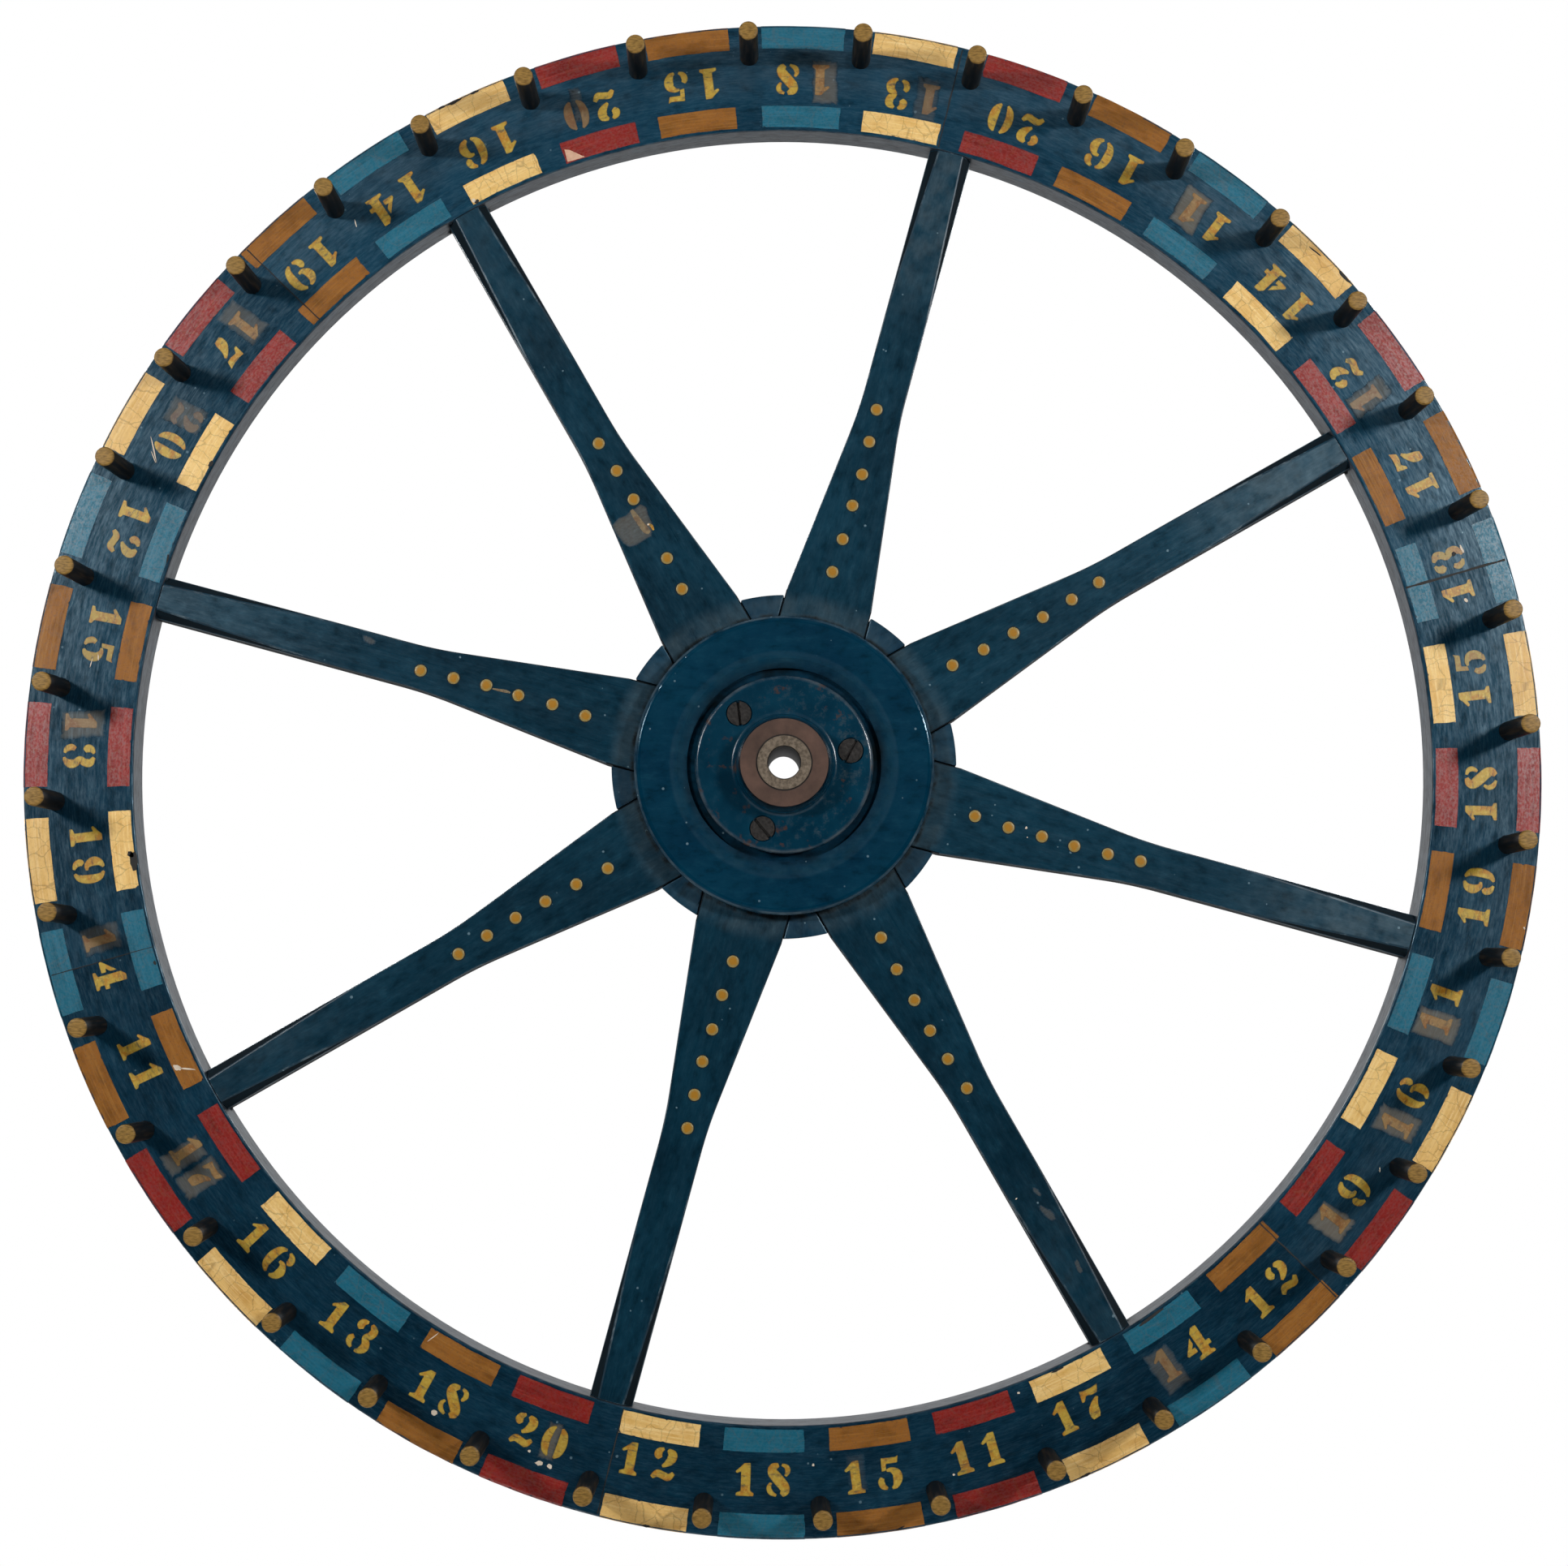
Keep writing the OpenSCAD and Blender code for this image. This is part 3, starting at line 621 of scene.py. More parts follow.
def figure_paint(name, main, dark, light, wear):
    """Stencilled gold-ochre paint: dabbed on, so mottled, thin at its border and worn through in places."""
    material, tree, shader = new_material(name)
    grain = add(tree, "Group", node_tree=RIM_GRAIN)
    place = add(tree, "TexCoord").outputs["Object"]
    dab = add(tree, "TexNoise", {"Vector": place, "Scale": 1 / (4 * MM), "Detail": 4.0})
    fleck = add(tree, "TexNoise", {"Vector": place, "Scale": 1 / (1.4 * MM), "Detail": 3.0})
    # Thin paint along the border, where the stencil's edge was
    border = add(tree, "Attribute", attribute_name="border").outputs["Fac"]
    uneven = add(tree, "Math", {0: fleck, 1: 0.5, 2: border}, operation="MULTIPLY_ADD")
    # Scrapes and fading, down to the blue
    scrape = sized_noise(tree, grain, (5, 1.6, 1), 5.0, 0.7)
    through = add(tree, "MapRange", {"Value": scrape, "From Min": 0.52, "From Max": 0.68, "To Max": wear})
    faded = add(tree, "Attribute", attribute_name="faded").outputs["Fac"]
    gone = add(tree, "Math", {0: through, 1: faded}, operation="MAXIMUM")
    tint = coats(tree, main, [
        (dab, 0.46, 0.64, 1.0, dark),
        (fleck, 0.52, 0.75, 0.7, light),
        (uneven, 0.65, 0.15, 0.75, "#3a3a1c"),
        (gone, 0.0, 1.0, 1.0, blue_paint(tree, grain, RIM_BLUES)),
    ])
    set_surface(tree, shader, tint, 0.37, 0.42, fleck, 0.03)
    return material


def dot_paint():
    """Gold dot paint: a drop of orange ochre that dried with a paler, greyer rim, in a dark ring of painted
    shadow.
    """
    material, tree, shader = new_material("gold_dot_paint")
    out = add(tree, "Attribute", attribute_name="border").outputs["Fac"]
    place = add(tree, "TexCoord").outputs["Object"]
    dab = add(tree, "TexNoise", {"Vector": place, "Scale": 1 / (2 * MM), "Detail": 3.0})
    uneven = add(tree, "Math", {0: dab, 1: 0.6, 2: out}, operation="MULTIPLY_ADD")
    # The dark ring round the dot is painted shadow
    tint = coats(tree, "#a3721d", [(uneven, 0.75, 1.05, 1.0, "#92804c"), (out, 0.83, 0.88, 1.0, "#041720")])
    set_surface(tree, shader, tint, 0.4, 0.3, dab, 0.02)
    return material


def patch_paint():
    """Grey-beige retouching round a figure: matt, cloudy, fading into the blue at its border."""
    material, tree, shader = new_material("retouching_paint")
    grain = add(tree, "Group", node_tree=RIM_GRAIN)
    cloud = sized_noise(tree, grain, (8, 8, 8), 5.0)
    beige = add(tree, "Mix", {"Factor": cloud, "A": "#7d705f", "B": "#575c5a"}, data_type="RGBA")
    border = add(tree, "Attribute", attribute_name="border").outputs["Fac"]
    patchy = add(tree, "Math", {0: cloud, 1: 0.5, 2: 0.7}, operation="MULTIPLY_ADD")
    cover = add(tree, "Math", {0: border, 1: patchy}, operation="MULTIPLY")
    blue = blue_paint(tree, grain, RIM_BLUES).outputs
    tint = add(tree, "Mix", {"Factor": cover, "A": blue["Color"], "B": beige}, data_type="RGBA")
    sheen = add(tree, "Math", {0: blue["Gloss"], 1: RIM_GLOSS}, operation="MULTIPLY")
    set_surface(tree, shader, tint, blue["Roughness"], sheen, blue["Height"], BRUSH_RELIEF)
    wire(tree, shader, {"Specular Tint": BRUSHED_SHEEN})
    return material


def bare_ground(name, clean, dirty, grit, detail, roughness):
    """What a chip or a crack in the paint shows: chalky ground or old dirty wood, quite dull."""
    material, tree, shader = new_material(name)
    place = add(tree, "TexCoord").outputs["Object"]
    dirt = add(tree, "TexNoise", {"Vector": place, "Scale": 1 / (grit * MM), "Detail": detail})
    tint = add(tree, "Mix", {"Factor": dirt, "A": clean, "B": dirty}, data_type="RGBA")
    set_surface(tree, shader, tint, roughness, 0.5, dirt, 0.05)
    return material


def peg_wood():
    """Beech dowel: the end is gilt and shows its grain, the side is near black as painted shade and rubbed
    brown.
    """
    material, tree, shader = new_material("painted_dowel")
    place = add(tree, "TexCoord").outputs["Object"]
    # The gilt ends in a ragged edge a little way down the side
    out_y = add(tree, "SeparateXYZ", {0: place}).outputs["Y"]
    ragged = add(tree, "TexNoise", {"Vector": place, "Scale": 1 / (3 * MM), "Detail": 3.0})
    depth = add(tree, "Math", {0: out_y, 1: PEG_TIP * MM}, operation="SUBTRACT")
    edge = add(tree, "Math", {0: ragged, 1: -2.2 * MM, 2: depth}, operation="MULTIPLY_ADD")
    # End grain, as fine flecks 0.7 mm wide, and long rubs down the side
    fleck_at = add(
        tree, "VectorMath", {0: place, 1: (1 / (2.6 * MM), 0, 1 / (0.7 * MM))}, operation="MULTIPLY"
    )
    fleck = add(tree, "TexNoise", {"Vector": fleck_at, "Scale": 1.0, "Detail": 3.0})
    rub = sized_noise(tree, place, (1.5 * MM, 18 * MM, 1.5 * MM), 4.0)
    # The side's near black is painted shade; the brown rubs are wear
    side = coats(tree, "#06080a", [(rub, 0.5, 0.72, 1.0, "#2f251a")])
    tint = coats(tree, "#97753a", [
        (fleck, 0.4, 0.65, 1.0, "#6e5325"),
        (edge, -0.5 * MM, 0.3 * MM, 1.0, side),
    ])
    set_surface(tree, shader, tint, 0.5, 0.2, fleck, 0.08)
    return material


def flange_iron():
    """Cast iron under blue paint: worn bright along its edges, rusted brown on the bare end of the boss."""
    material, tree, shader = new_material("painted_cast_iron")
    place = add(tree, "TexCoord").outputs["Object"]
    part = add(tree, "SeparateXYZ", {0: place}).outputs
    level = add(tree, "Math", {0: part["Y"]}, operation="ABSOLUTE")
    cast = add(tree, "TexNoise", {"Vector": place, "Scale": 1 / (2.5 * MM), "Detail": 5.0, "Roughness": 0.65})
    cloud = add(tree, "TexNoise", {"Vector": place, "Scale": 1 / (16 * MM), "Detail": 6.0, "Roughness": 0.6})
    # Bare rusty end of the boss, with a dark groove round the sleeve
    boss = -BOSS_FACE
    end = add(
        tree, "MapRange", {"Value": level, "From Min": (boss - 0.6) * MM, "From Max": (boss - 0.2) * MM}
    )
    groove = ring_share(tree, 0.0, SLEEVE_R + 0.5, 0.5)
    rust = coats(tree, "#392921", [(cloud, 0.3, 0.7, 1.0, "#5f463b"), (groove, 0.0, 1.0, 1.0, "#14100d")])
    # Worn outer edge of the plate, broken up by the casting's skin
    flat = add(tree, "VectorMath", {0: place, 1: (1, 0, 1)}, operation="MULTIPLY")
    radius = add(tree, "VectorMath", {0: flat}, operation="LENGTH")
    near, far = (FLANGE_R - 2.2) * MM, (FLANGE_R - 0.8) * MM
    edge = add(tree, "MapRange", {"Value": radius, "From Min": near, "From Max": far})
    broken = add(tree, "MapRange", {"Value": cloud, "From Min": 0.4, "From Max": 0.6})
    rubbed = add(tree, "Math", {0: edge, 1: broken}, operation="MULTIPLY")
    # Rust that comes through the paint in places, and grey scuffs, most of them on one side
    spot = add(tree, "TexNoise", {"Vector": place, "Scale": 1 / (9 * MM), "Detail": 5.0, "Roughness": 0.6})
    scuff = add(tree, "TexNoise", {"Vector": place, "Scale": 1 / (4 * MM), "Detail": 6.0, "Roughness": 0.75})
    one_side = add(
        tree, "MapRange",
        {"Value": part["X"], "From Min": -20 * MM, "From Max": 30 * MM, "To Min": 0.15, "To Max": 0.9},
    )
    tint = coats(tree, "#00293c", [
        (cloud, 0.35, 0.65, 1.0, "#06364a"),
        (rubbed, 0.0, 1.0, 0.4, "#6d6f70"),
        # Painted shade, near black, on the cone behind the boss's end
        (level, (boss - 6) * MM, (boss - 2) * MM, 0.9, "#05090c"),
        (spot, 0.62, 0.7, 0.8, "#4a3428"),
        (scuff, 0.52, 0.68, one_side, "#37474f"),
        (end, 0.0, 1.0, 1.0, rust),
    ])
    rough = add(tree, "MapRange", {"Value": end, "To Min": 0.23, "To Max": 0.6})
    set_surface(tree, shader, tint, rough, 0.24, cast, 0.08)
    return material


def worn_steel(name, main, dark, roughness, bore=0.0):
    """Old bare steel: brown-grey with age, faintly pitted, and near black inside a bore as painted shade."""
    material, tree, shader = new_material(name)
    place = add(tree, "TexCoord").outputs["Object"]
    pit = add(tree, "TexNoise", {"Vector": place, "Scale": 1 / (1.6 * MM), "Detail": 5.0, "Roughness": 0.65})
    # Near black inside the bore: painted shade
    inside = ring_share(tree, 0.0, bore, 0.3)
    tint = coats(tree, dark, [(pit, 0.35, 0.65, 1.0, main), (inside, 0.0, 1.0, 1.0, "#14120d")])
    set_surface(tree, shader, tint, roughness, 0.2, pit, 0.06)
    wire(tree, shader, {"Metallic": 0.15})
    return material


RIM_GLOSS = 0.45
SPOKE_GLOSS = 0.47
HUB_GLOSS = 0.16
# Rings of dirt and dust, and of painted shade, shadow, sheen and highlight: near, far, soft border, tint,
# share, roughness, size of the spots, and how far the tone of the board rules
DISC_DUST_AND_SHADOW = [
    (COVER_R + 1, COVER_R + 8, 6, "#465358", 0.35, 0.45, 12, 0),
    # A dark ring just outside the disc's edge: painted shadow of the disc
    (COVER_R - 2, COVER_R + 1.3, 1.6, "#030507", 1.7, 0.75, 6, 0),
]
# Grey on the spokes near the rim, strongest on the right-hand and upper spokes: dust and painted sheen
SPOKE_DUST_SHADOW_AND_SHEEN = DISC_DUST_AND_SHADOW + [(RIM_IN - 40, RIM_IN, 60, "#5a6970", 0.4, 0.4, 9, 5)]
COVER_DUST_SHADE_AND_HIGHLIGHT = [
    (FLANGE_R + 9, COVER_R - 3, 4, "#093c50", 0.35, 0.36, 14, 0),
    (FLANGE_R + 7, FLANGE_R + 10, 3, "#1d3d4b", 0.5, 0.95, 5, 0),
    # Near black in the recess round the flange: painted shade
    (FLANGE_R - 1, FLANGE_R + 3, 5, "#02090e", 1.35, 0.95, 28, 0),
    (COVER_R - 3.0, COVER_R, 0.5, "#04384e", 0.0, 0.14, 10, 0),
    # A pale ring on the disc's rounded edge: wear and painted highlight
    (COVER_R - 1.2, COVER_R - 0.4, 0.4, "#63757e", 0.5, 0.14, 10, 0),
]
# Pale grey round the pegs, strongest at the top: dust and painted sheen
PEG_DUST_AND_SHEEN = [(PEG_CIRCLE - 14, PEG_CIRCLE + 4, 8, "#4b5d69", 0.5, 0.4, 16, 1.2)]
RIM_PAINT = painted_wood(
    "oil_paint_on_rim", RIM_GRAIN, RIM_BLUES, RIM_GLOSS,
    [(RIM_OUT - 1.6, RIM_OUT, "#4c5a62", 0.7), (RIM_IN + 1.2, RIM_IN, "#424246", 0.85)], PEG_DUST_AND_SHEEN,
)
SPOKE_PAINT = painted_wood("oil_paint_on_spokes", STRAIGHT_GRAIN, SPOKE_BLUES, SPOKE_GLOSS, rings=SPOKE_DUST_SHADOW_AND_SHEEN)
HUB_PAINT = painted_wood("oil_paint_on_hub_blocks", STRAIGHT_GRAIN, HUB_BLUES, SPOKE_GLOSS, rings=DISC_DUST_AND_SHADOW)
COVER_PAINT = painted_wood(
    "oil_paint_on_cover_discs", STRAIGHT_GRAIN, HUB_BLUES, HUB_GLOSS, rings=COVER_DUST_SHADE_AND_HIGHLIGHT
)
SHADED_SIDE_PAINT = spoke_side_painted_shade()
WORN_PAINT = worn_edge_paint()
BLOCK_PAINTS = {
    "blue": block_paint("sky_blue_oil_paint", "#1b6379", "#145265", "#2b738c", 0.15, 0.42),
    "cream": block_paint("cream_oil_paint", "#ecc57c", "#d6a250", "#f8dfa4", 0.38, 0.3),
    "red": block_paint("red_oil_paint", "#861c16", "#650f0b", "#a23b33", 0.2, 0.62),
    "ochre": block_paint("ochre_oil_paint", "#925f2b", "#6b431a", "#a5743a", 0.25, 0.17),
}
# The outer row is more soiled, which shows on the cream blocks
SOILED_PAINTS = {"cream": block_paint("soiled_cream_oil_paint", "#e3ba72", "#c9974d", "#f2d79d", 0.42, 0.3)}
FIGURE_PAINT = figure_paint("gold_ochre_stencil_paint", "#b69637", "#ad7622", "#cdb65c", 0.75)
DULL_FIGURE_PAINT = figure_paint("retouched_stencil_paint", "#8f7147", "#83592f", "#a58a63", 0.6)
SMEAR_PAINT = figure_paint("smeared_gold_paint", "#7f6f54", "#6d543e", "#958562", 0.5)
DOT_PAINT = dot_paint()
PATCH_PAINT = patch_paint()
CHIP_FILLER = bare_ground("chalk_ground", "#ece0cf", "#b9a58c", 1.5, 3.0, 0.8)
ROSY_GROUND = bare_ground("rosy_ground", "#e0b698", "#b98b72", 1.5, 3.0, 0.8)
BARE_WOOD = bare_ground("dirty_bare_wood", "#07090b", "#1c1a17", 2.0, 4.0, 0.85)
PEG_WOOD = peg_wood()
FLANGE_IRON = flange_iron()
SLEEVE_STEEL = worn_steel("aged_sleeve_steel", "#7d7061", "#51473b", 0.55, SLEEVE_BORE + 0.2)
SCREW_STEEL = worn_steel("rusty_screw_steel", "#33302e", "#151312", 0.6)


# Wood: copies of the frame's boards with their sharp edges eased

def board_copy(node):
    """A node's mesh with its triangles joined into flat faces."""
    bm = bmesh.new()
    bm.from_mesh(frame["nodes"][node].data)
    bmesh.ops.remove_doubles(bm, verts=bm.verts, dist=MERGE_REACH * MM)
    bmesh.ops.dissolve_limit(bm, angle_limit=math.radians(FLAT_ANGLE), verts=bm.verts, edges=bm.edges)
    return bm


def board_piece(name, bm, turn, materials, tone=0.0):
    """A finished board with even normals, which carries the turn of its grain and its own tone."""
    mesh = bpy.data.meshes.new(name)
    bm.to_mesh(mesh)
    bm.free()
    for material in materials:
        mesh.materials.append(material)
    for label, value in (("turn", math.radians(turn)), ("tone", tone)):
        layer = mesh.attributes.new(label, "FLOAT", "POINT")
        layer.data.foreach_set("value", [value] * len(mesh.vertices))
    smooth_shaded(mesh)
    draft = new_piece(name + ".draft", mesh)
    even = draft.modifiers.new("even", "WEIGHTED_NORMAL")
    even.keep_sharp = True
    return settled(name, draft, even)


def ease_edges(bm, ease):
    """Rounds a board's long sharp edges and gives back the faces of the rounds."""
    sharp = [
        e for e in bm.edges
        if len(e.link_faces) == 2
        and e.calc_face_angle() > math.radians(SHARP_ANGLE)
        and e.calc_length() > LONG_EDGE * ease * MM
    ]
    return bmesh.ops.bevel(
        bm, geom=sharp, offset=ease * MM, offset_type="OFFSET", segments=2, profile=0.5,
        affect="EDGES", clamp_overlap=False,
    )["faces"]


def lean_of(face):
    """The angle between a face and the painted front."""
    return math.degrees(face.normal.angle(Vector((0, -1, 0))))


def paint_spoke(bm, rounds):
    """Blue, with painted shade on the chamfers, sides and inner rounds, and worn paint on the outer rounds.
    """
    for face in bm.faces:
        lean = lean_of(face)
        broad = CHAMFER_LEAN[0] < lean and face.calc_area() > CHAMFER_AREA * MM * MM
        if lean < SIDE_LEAN and (broad or lean > SIDE_FROM):
            face.material_index = 1
    for face in rounds:
        middle = face.calc_center_median()
        if math.hypot(middle.x, middle.z) < WORN_FROM * MM:
            face.material_index = 1
        elif lean_of(face) < CHAMFER_LEAN[1]:
            face.material_index = 2


def widen(bm, turn):
    """Lets a hub block's sides run a little into the spokes beside it at the back, to keep light out."""
    side = Vector((-math.sin(math.radians(turn)), 0, math.cos(math.radians(turn))))
    for vert in bm.verts:
        if vert.co.y > 0:
            vert.co += side * math.copysign(BLOCK_LAP * MM, vert.co.dot(side))


def close_joints(bm, turn, half_angle):
    """Lets a felloe's ends meet its neighbours', so that no light shows through."""
    for vert in bm.verts:
        angle = math.degrees(math.atan2(vert.co.z, vert.co.x)) - turn
        angle = (angle + 180) % 360 - 180
        if abs(angle) > half_angle - JOINT_REACH:
            shift = math.copysign(half_angle, angle) - angle
            radius = math.hypot(vert.co.x, vert.co.z)
            meeting = math.radians(turn + angle + shift)
            vert.co.x = radius * math.cos(meeting)
            vert.co.z = radius * math.sin(meeting)


def make_wood():
    for i in range(SPOKE_COUNT):
        turn = WHEEL_TURN + i * BAY
        spoke = board_copy("spoke_%d" % (i + 1))
        paint_spoke(spoke, ease_edges(spoke, SPOKE_EASE))
        finishes = [SPOKE_PAINT, SHADED_SIDE_PAINT, WORN_PAINT]
        piece = board_piece("spoke_%d_painted" % (i + 1), spoke, turn, finishes, SPOKE_TONES[i])
        hand_over(piece, ["spoke_%d" % (i + 1)])
        block = board_copy("hub_block_%d" % (i + 1))
        ease_edges(block, BLOCK_EASE)
        widen(block, turn + BAY / 2)
        piece = board_piece("hub_block_%d_painted" % (i + 1), block, turn + BAY / 2, [HUB_PAINT])
        hand_over(piece, ["hub_block_%d" % (i + 1)])
        rear = board_copy("rear_felloe_%d" % (i + 1))
        close_joints(rear, turn, BAY / 2)
        piece = board_piece("rear_felloe_%d_painted" % (i + 1), rear, turn, [RIM_PAINT])
        hand_over(piece, ["rear_felloe_%d" % (i + 1)])
    for i in range(FRONT_FELLOE_COUNT):
        turn = WHEEL_TURN + FRONT_JOINT_TURN + (i + 0.5) * FRONT_FELLOE_ANGLE
        front = board_copy("front_felloe_%d" % (i + 1))
        close_joints(front, turn, FRONT_FELLOE_ANGLE / 2)
        piece = board_piece("front_felloe_%d_painted" % (i + 1), front, turn, [RIM_PAINT], FELLOE_TONES[i])
        hand_over(piece, ["front_felloe_%d" % (i + 1)])


# Painted blocks of colour, grown round the rim

def around_axle(tree, radius, angle, level=0.0):
    """The point at a distance and an angle round the axle, at a level along it."""
    cosine = add(tree, "Math", {0: angle}, operation="COSINE")
    sine = add(tree, "Math", {0: angle}, operation="SINE")
    x = add(tree, "Math", {0: radius, 1: cosine}, operation="MULTIPLY")
    z = add(tree, "Math", {0: radius, 1: sine}, operation="MULTIPLY")
    return add(tree, "CombineXYZ", {"X": x, "Y": level, "Z": z})


def segment_angle(segment):
    """The angle of a segment's mark."""
    return FIRST_SEGMENT + segment * SEGMENT_STEP


def block_tree():
    """A ring of hand-painted blocks, one at each mark, that follow the rim and wrap over its eased edge."""
    tree, given, out = new_tree(
        "colour_blocks", "Geometry",
        {
            "Marks": "Object", "Span": "Float", "Inner radius": "Float", "Outer radius": "Float",
            "Edge start": "Float", "Edge radius": "Float", "Wobble": "Float", "Face": "Float",
            "Film": "Float", "Sink": "Float", "Material": "Material",
        },
        {"Geometry": "Geometry"},
    )
    marks = add(tree, "GeometryNodeObjectInfo", {"Object": given["Marks"]}).outputs["Geometry"]
    columns, rows = BLOCK_GRID
    grid = add(
        tree, "GeometryNodeMeshGrid",
        {"Size X": 1.0, "Size Y": 1.0, "Vertices X": columns, "Vertices Y": rows},
    )
    copies = add(tree, "GeometryNodeInstanceOnPoints", {"Points": marks, "Instance": grid.outputs["Mesh"]})
    # Every copy lies flat at the same place until it is bent round the rim
    real = add(tree, "GeometryNodeRealizeInstances", {"Geometry": copies})
    turn = add(
        tree, "GeometryNodeInputNamedAttribute", {"Name": "turn"}, data_type="FLOAT"
    ).outputs["Attribute"]
    part = add(tree, "SeparateXYZ", {0: add(tree, "GeometryNodeInputPosition")}).outputs
    # The painter's hand: a slow wobble of the edges, different on every block
    hand_at = add(tree, "CombineXYZ", {"X": part["X"], "Y": part["Y"], "Z": turn})
    hand = add(tree, "TexNoise", {"Vector": hand_at, "Scale": 2.5, "Detail": 4.0}).outputs["Color"]
    shake = add(tree, "SeparateXYZ", {0: hand}).outputs
    depth = add(tree, "Math", {0: given["Outer radius"], 1: given["Inner radius"]}, operation="SUBTRACT")
    across = add(tree, "Math", {0: part["Y"], 1: 0.5}, operation="ADD")
    ideal_r = add(tree, "Math", {0: across, 1: depth, 2: given["Inner radius"]}, operation="MULTIPLY_ADD")
    shaken = add(tree, "Math", {0: shake["X"], 1: 0.5}, operation="SUBTRACT")
    shaken_r = add(tree, "Math", {0: shaken, 1: given["Wobble"], 2: ideal_r}, operation="MULTIPLY_ADD")
    radius = add(tree, "Math", {0: shaken_r, 1: given["Outer radius"]}, operation="MINIMUM")
    swayed = add(tree, "Math", {0: shake["Y"], 1: 0.5}, operation="SUBTRACT")
    sway = add(tree, "Math", {0: swayed, 1: given["Wobble"]}, operation="MULTIPLY")
    sway_angle = add(tree, "Math", {0: sway, 1: given["Outer radius"]}, operation="DIVIDE")
    spread = add(tree, "Math", {0: part["X"], 1: given["Span"], 2: sway_angle}, operation="MULTIPLY_ADD")
    angle = add(tree, "Math", {0: turn, 1: spread}, operation="ADD")
    # The drop over the rim's rounded edge
    beyond = add(tree, "Math", {0: radius, 1: given["Edge start"]}, operation="SUBTRACT")
    over = add(tree, "Math", {0: beyond, 1: 0.0}, operation="MAXIMUM")
    over_square = add(tree, "Math", {0: over, 1: over}, operation="MULTIPLY")
    edge_square = add(tree, "Math", {0: given["Edge radius"], 1: given["Edge radius"]}, operation="MULTIPLY")
    rest = add(tree, "Math", {0: edge_square, 1: over_square}, operation="SUBTRACT")
    level = add(tree, "Math", {0: rest}, operation="SQRT")
    drop = add(tree, "Math", {0: given["Edge radius"], 1: level}, operation="SUBTRACT")
    sunk = add(tree, "Math", {0: given["Face"], 1: given["Sink"]}, operation="ADD")
    low = add(tree, "Math", {0: sunk, 1: drop}, operation="ADD")
    place = around_axle(tree, radius, angle, low)
    # Distance to the block's own border, in mm
    side = add(tree, "Math", {0: part["X"]}, operation="ABSOLUTE")
    to_side = add(tree, "Math", {0: 0.5, 1: side}, operation="SUBTRACT")
    side_angle = add(tree, "Math", {0: to_side, 1: given["Span"]}, operation="MULTIPLY")
    side_gap = add(tree, "Math", {0: side_angle, 1: given["Outer radius"]}, operation="MULTIPLY")
    end = add(tree, "Math", {0: part["Y"]}, operation="ABSOLUTE")
    to_end = add(tree, "Math", {0: 0.5, 1: end}, operation="SUBTRACT")
    end_gap = add(tree, "Math", {0: to_end, 1: depth}, operation="MULTIPLY")
    gap = add(tree, "Math", {0: side_gap, 1: end_gap}, operation="MINIMUM")
    gap_mm = add(tree, "Math", {0: gap, 1: 1 / MM}, operation="MULTIPLY")
    bordered = add(
        tree, "GeometryNodeStoreNamedAttribute",
        {"Geometry": real, "Name": "border", "Value": gap_mm}, data_type="FLOAT",
    )
    bent = add(tree, "GeometryNodeSetPosition", {"Geometry": bordered, "Position": place})
    faced = add(tree, "GeometryNodeFlipFaces", {"Mesh": bent})
    lift = add(tree, "Math", {0: given["Film"], 1: given["Sink"]}, operation="ADD")
    raised = add(
        tree, "GeometryNodeExtrudeMesh",
        {"Mesh": faced, "Offset": (0, -1, 0), "Offset Scale": lift, "Individual": False}, mode="FACES",
    )
    both = add(tree, "GeometryNodeJoinGeometry", {"Geometry": bent})
    wire(tree, both, {"Geometry": raised})
    closed = add(tree, "GeometryNodeMergeByDistance", {"Geometry": both, "Distance": 0.001 * MM})
    whole = add(tree, "GeometryNodeRealizeInstances", {"Geometry": closed})
    tinted = add(tree, "GeometryNodeSetMaterial", {"Geometry": whole, "Material": given["Material"]})
    wire(tree, out, {"Geometry": tinted})
    return tree


def block_marks(segments):
    """Points that carry the turns of the blocks of these segments."""
    mesh = bpy.data.meshes.new("block_marks")
    mesh.from_pydata([(0, 0, 0)] * len(segments), [], [])
    turns = [segment_angle(i) + math.degrees(BLOCK_SHIFTS[i] / RIM_MID) for i in segments]
    layer = mesh.attributes.new("turn", "FLOAT", "POINT")
    layer.data.foreach_set("value", [math.radians(turn) for turn in turns])
    return new_piece("block_marks", mesh)


def make_blocks():
    tree = block_tree()
    for k, name in enumerate(BLOCK_COLOURS):
        marks = block_marks(range(k, SEGMENT_COUNT, len(BLOCK_COLOURS)))
        for row, (near, far, span), paints in (
            ("outer", OUTER_BLOCK, {**BLOCK_PAINTS, **SOILED_PAINTS}), ("inner", INNER_BLOCK, BLOCK_PAINTS),
        ):
            piece = grown("%s_blocks_%s" % (row, name), tree, {
                "Marks": marks,
                "Span": math.radians(span),
                "Inner radius": near * MM,
                "Outer radius": far * MM,
                "Edge start": (RIM_OUT - RIM_EDGE_R) * MM,
                "Edge radius": RIM_EDGE_R * MM,
                "Wobble": BLOCK_WOBBLE * MM,
                "Face": FACE * MM,
                "Film": BLOCK_FILM * MM,
                "Sink": FILM_SINK * MM,
                "Material": paints[name],
            })
            hand_over(piece)
        bpy.data.objects.remove(marks)


# Stencilled figures: every stroke is a list of points along its middle, as (x, y, width), or an outline

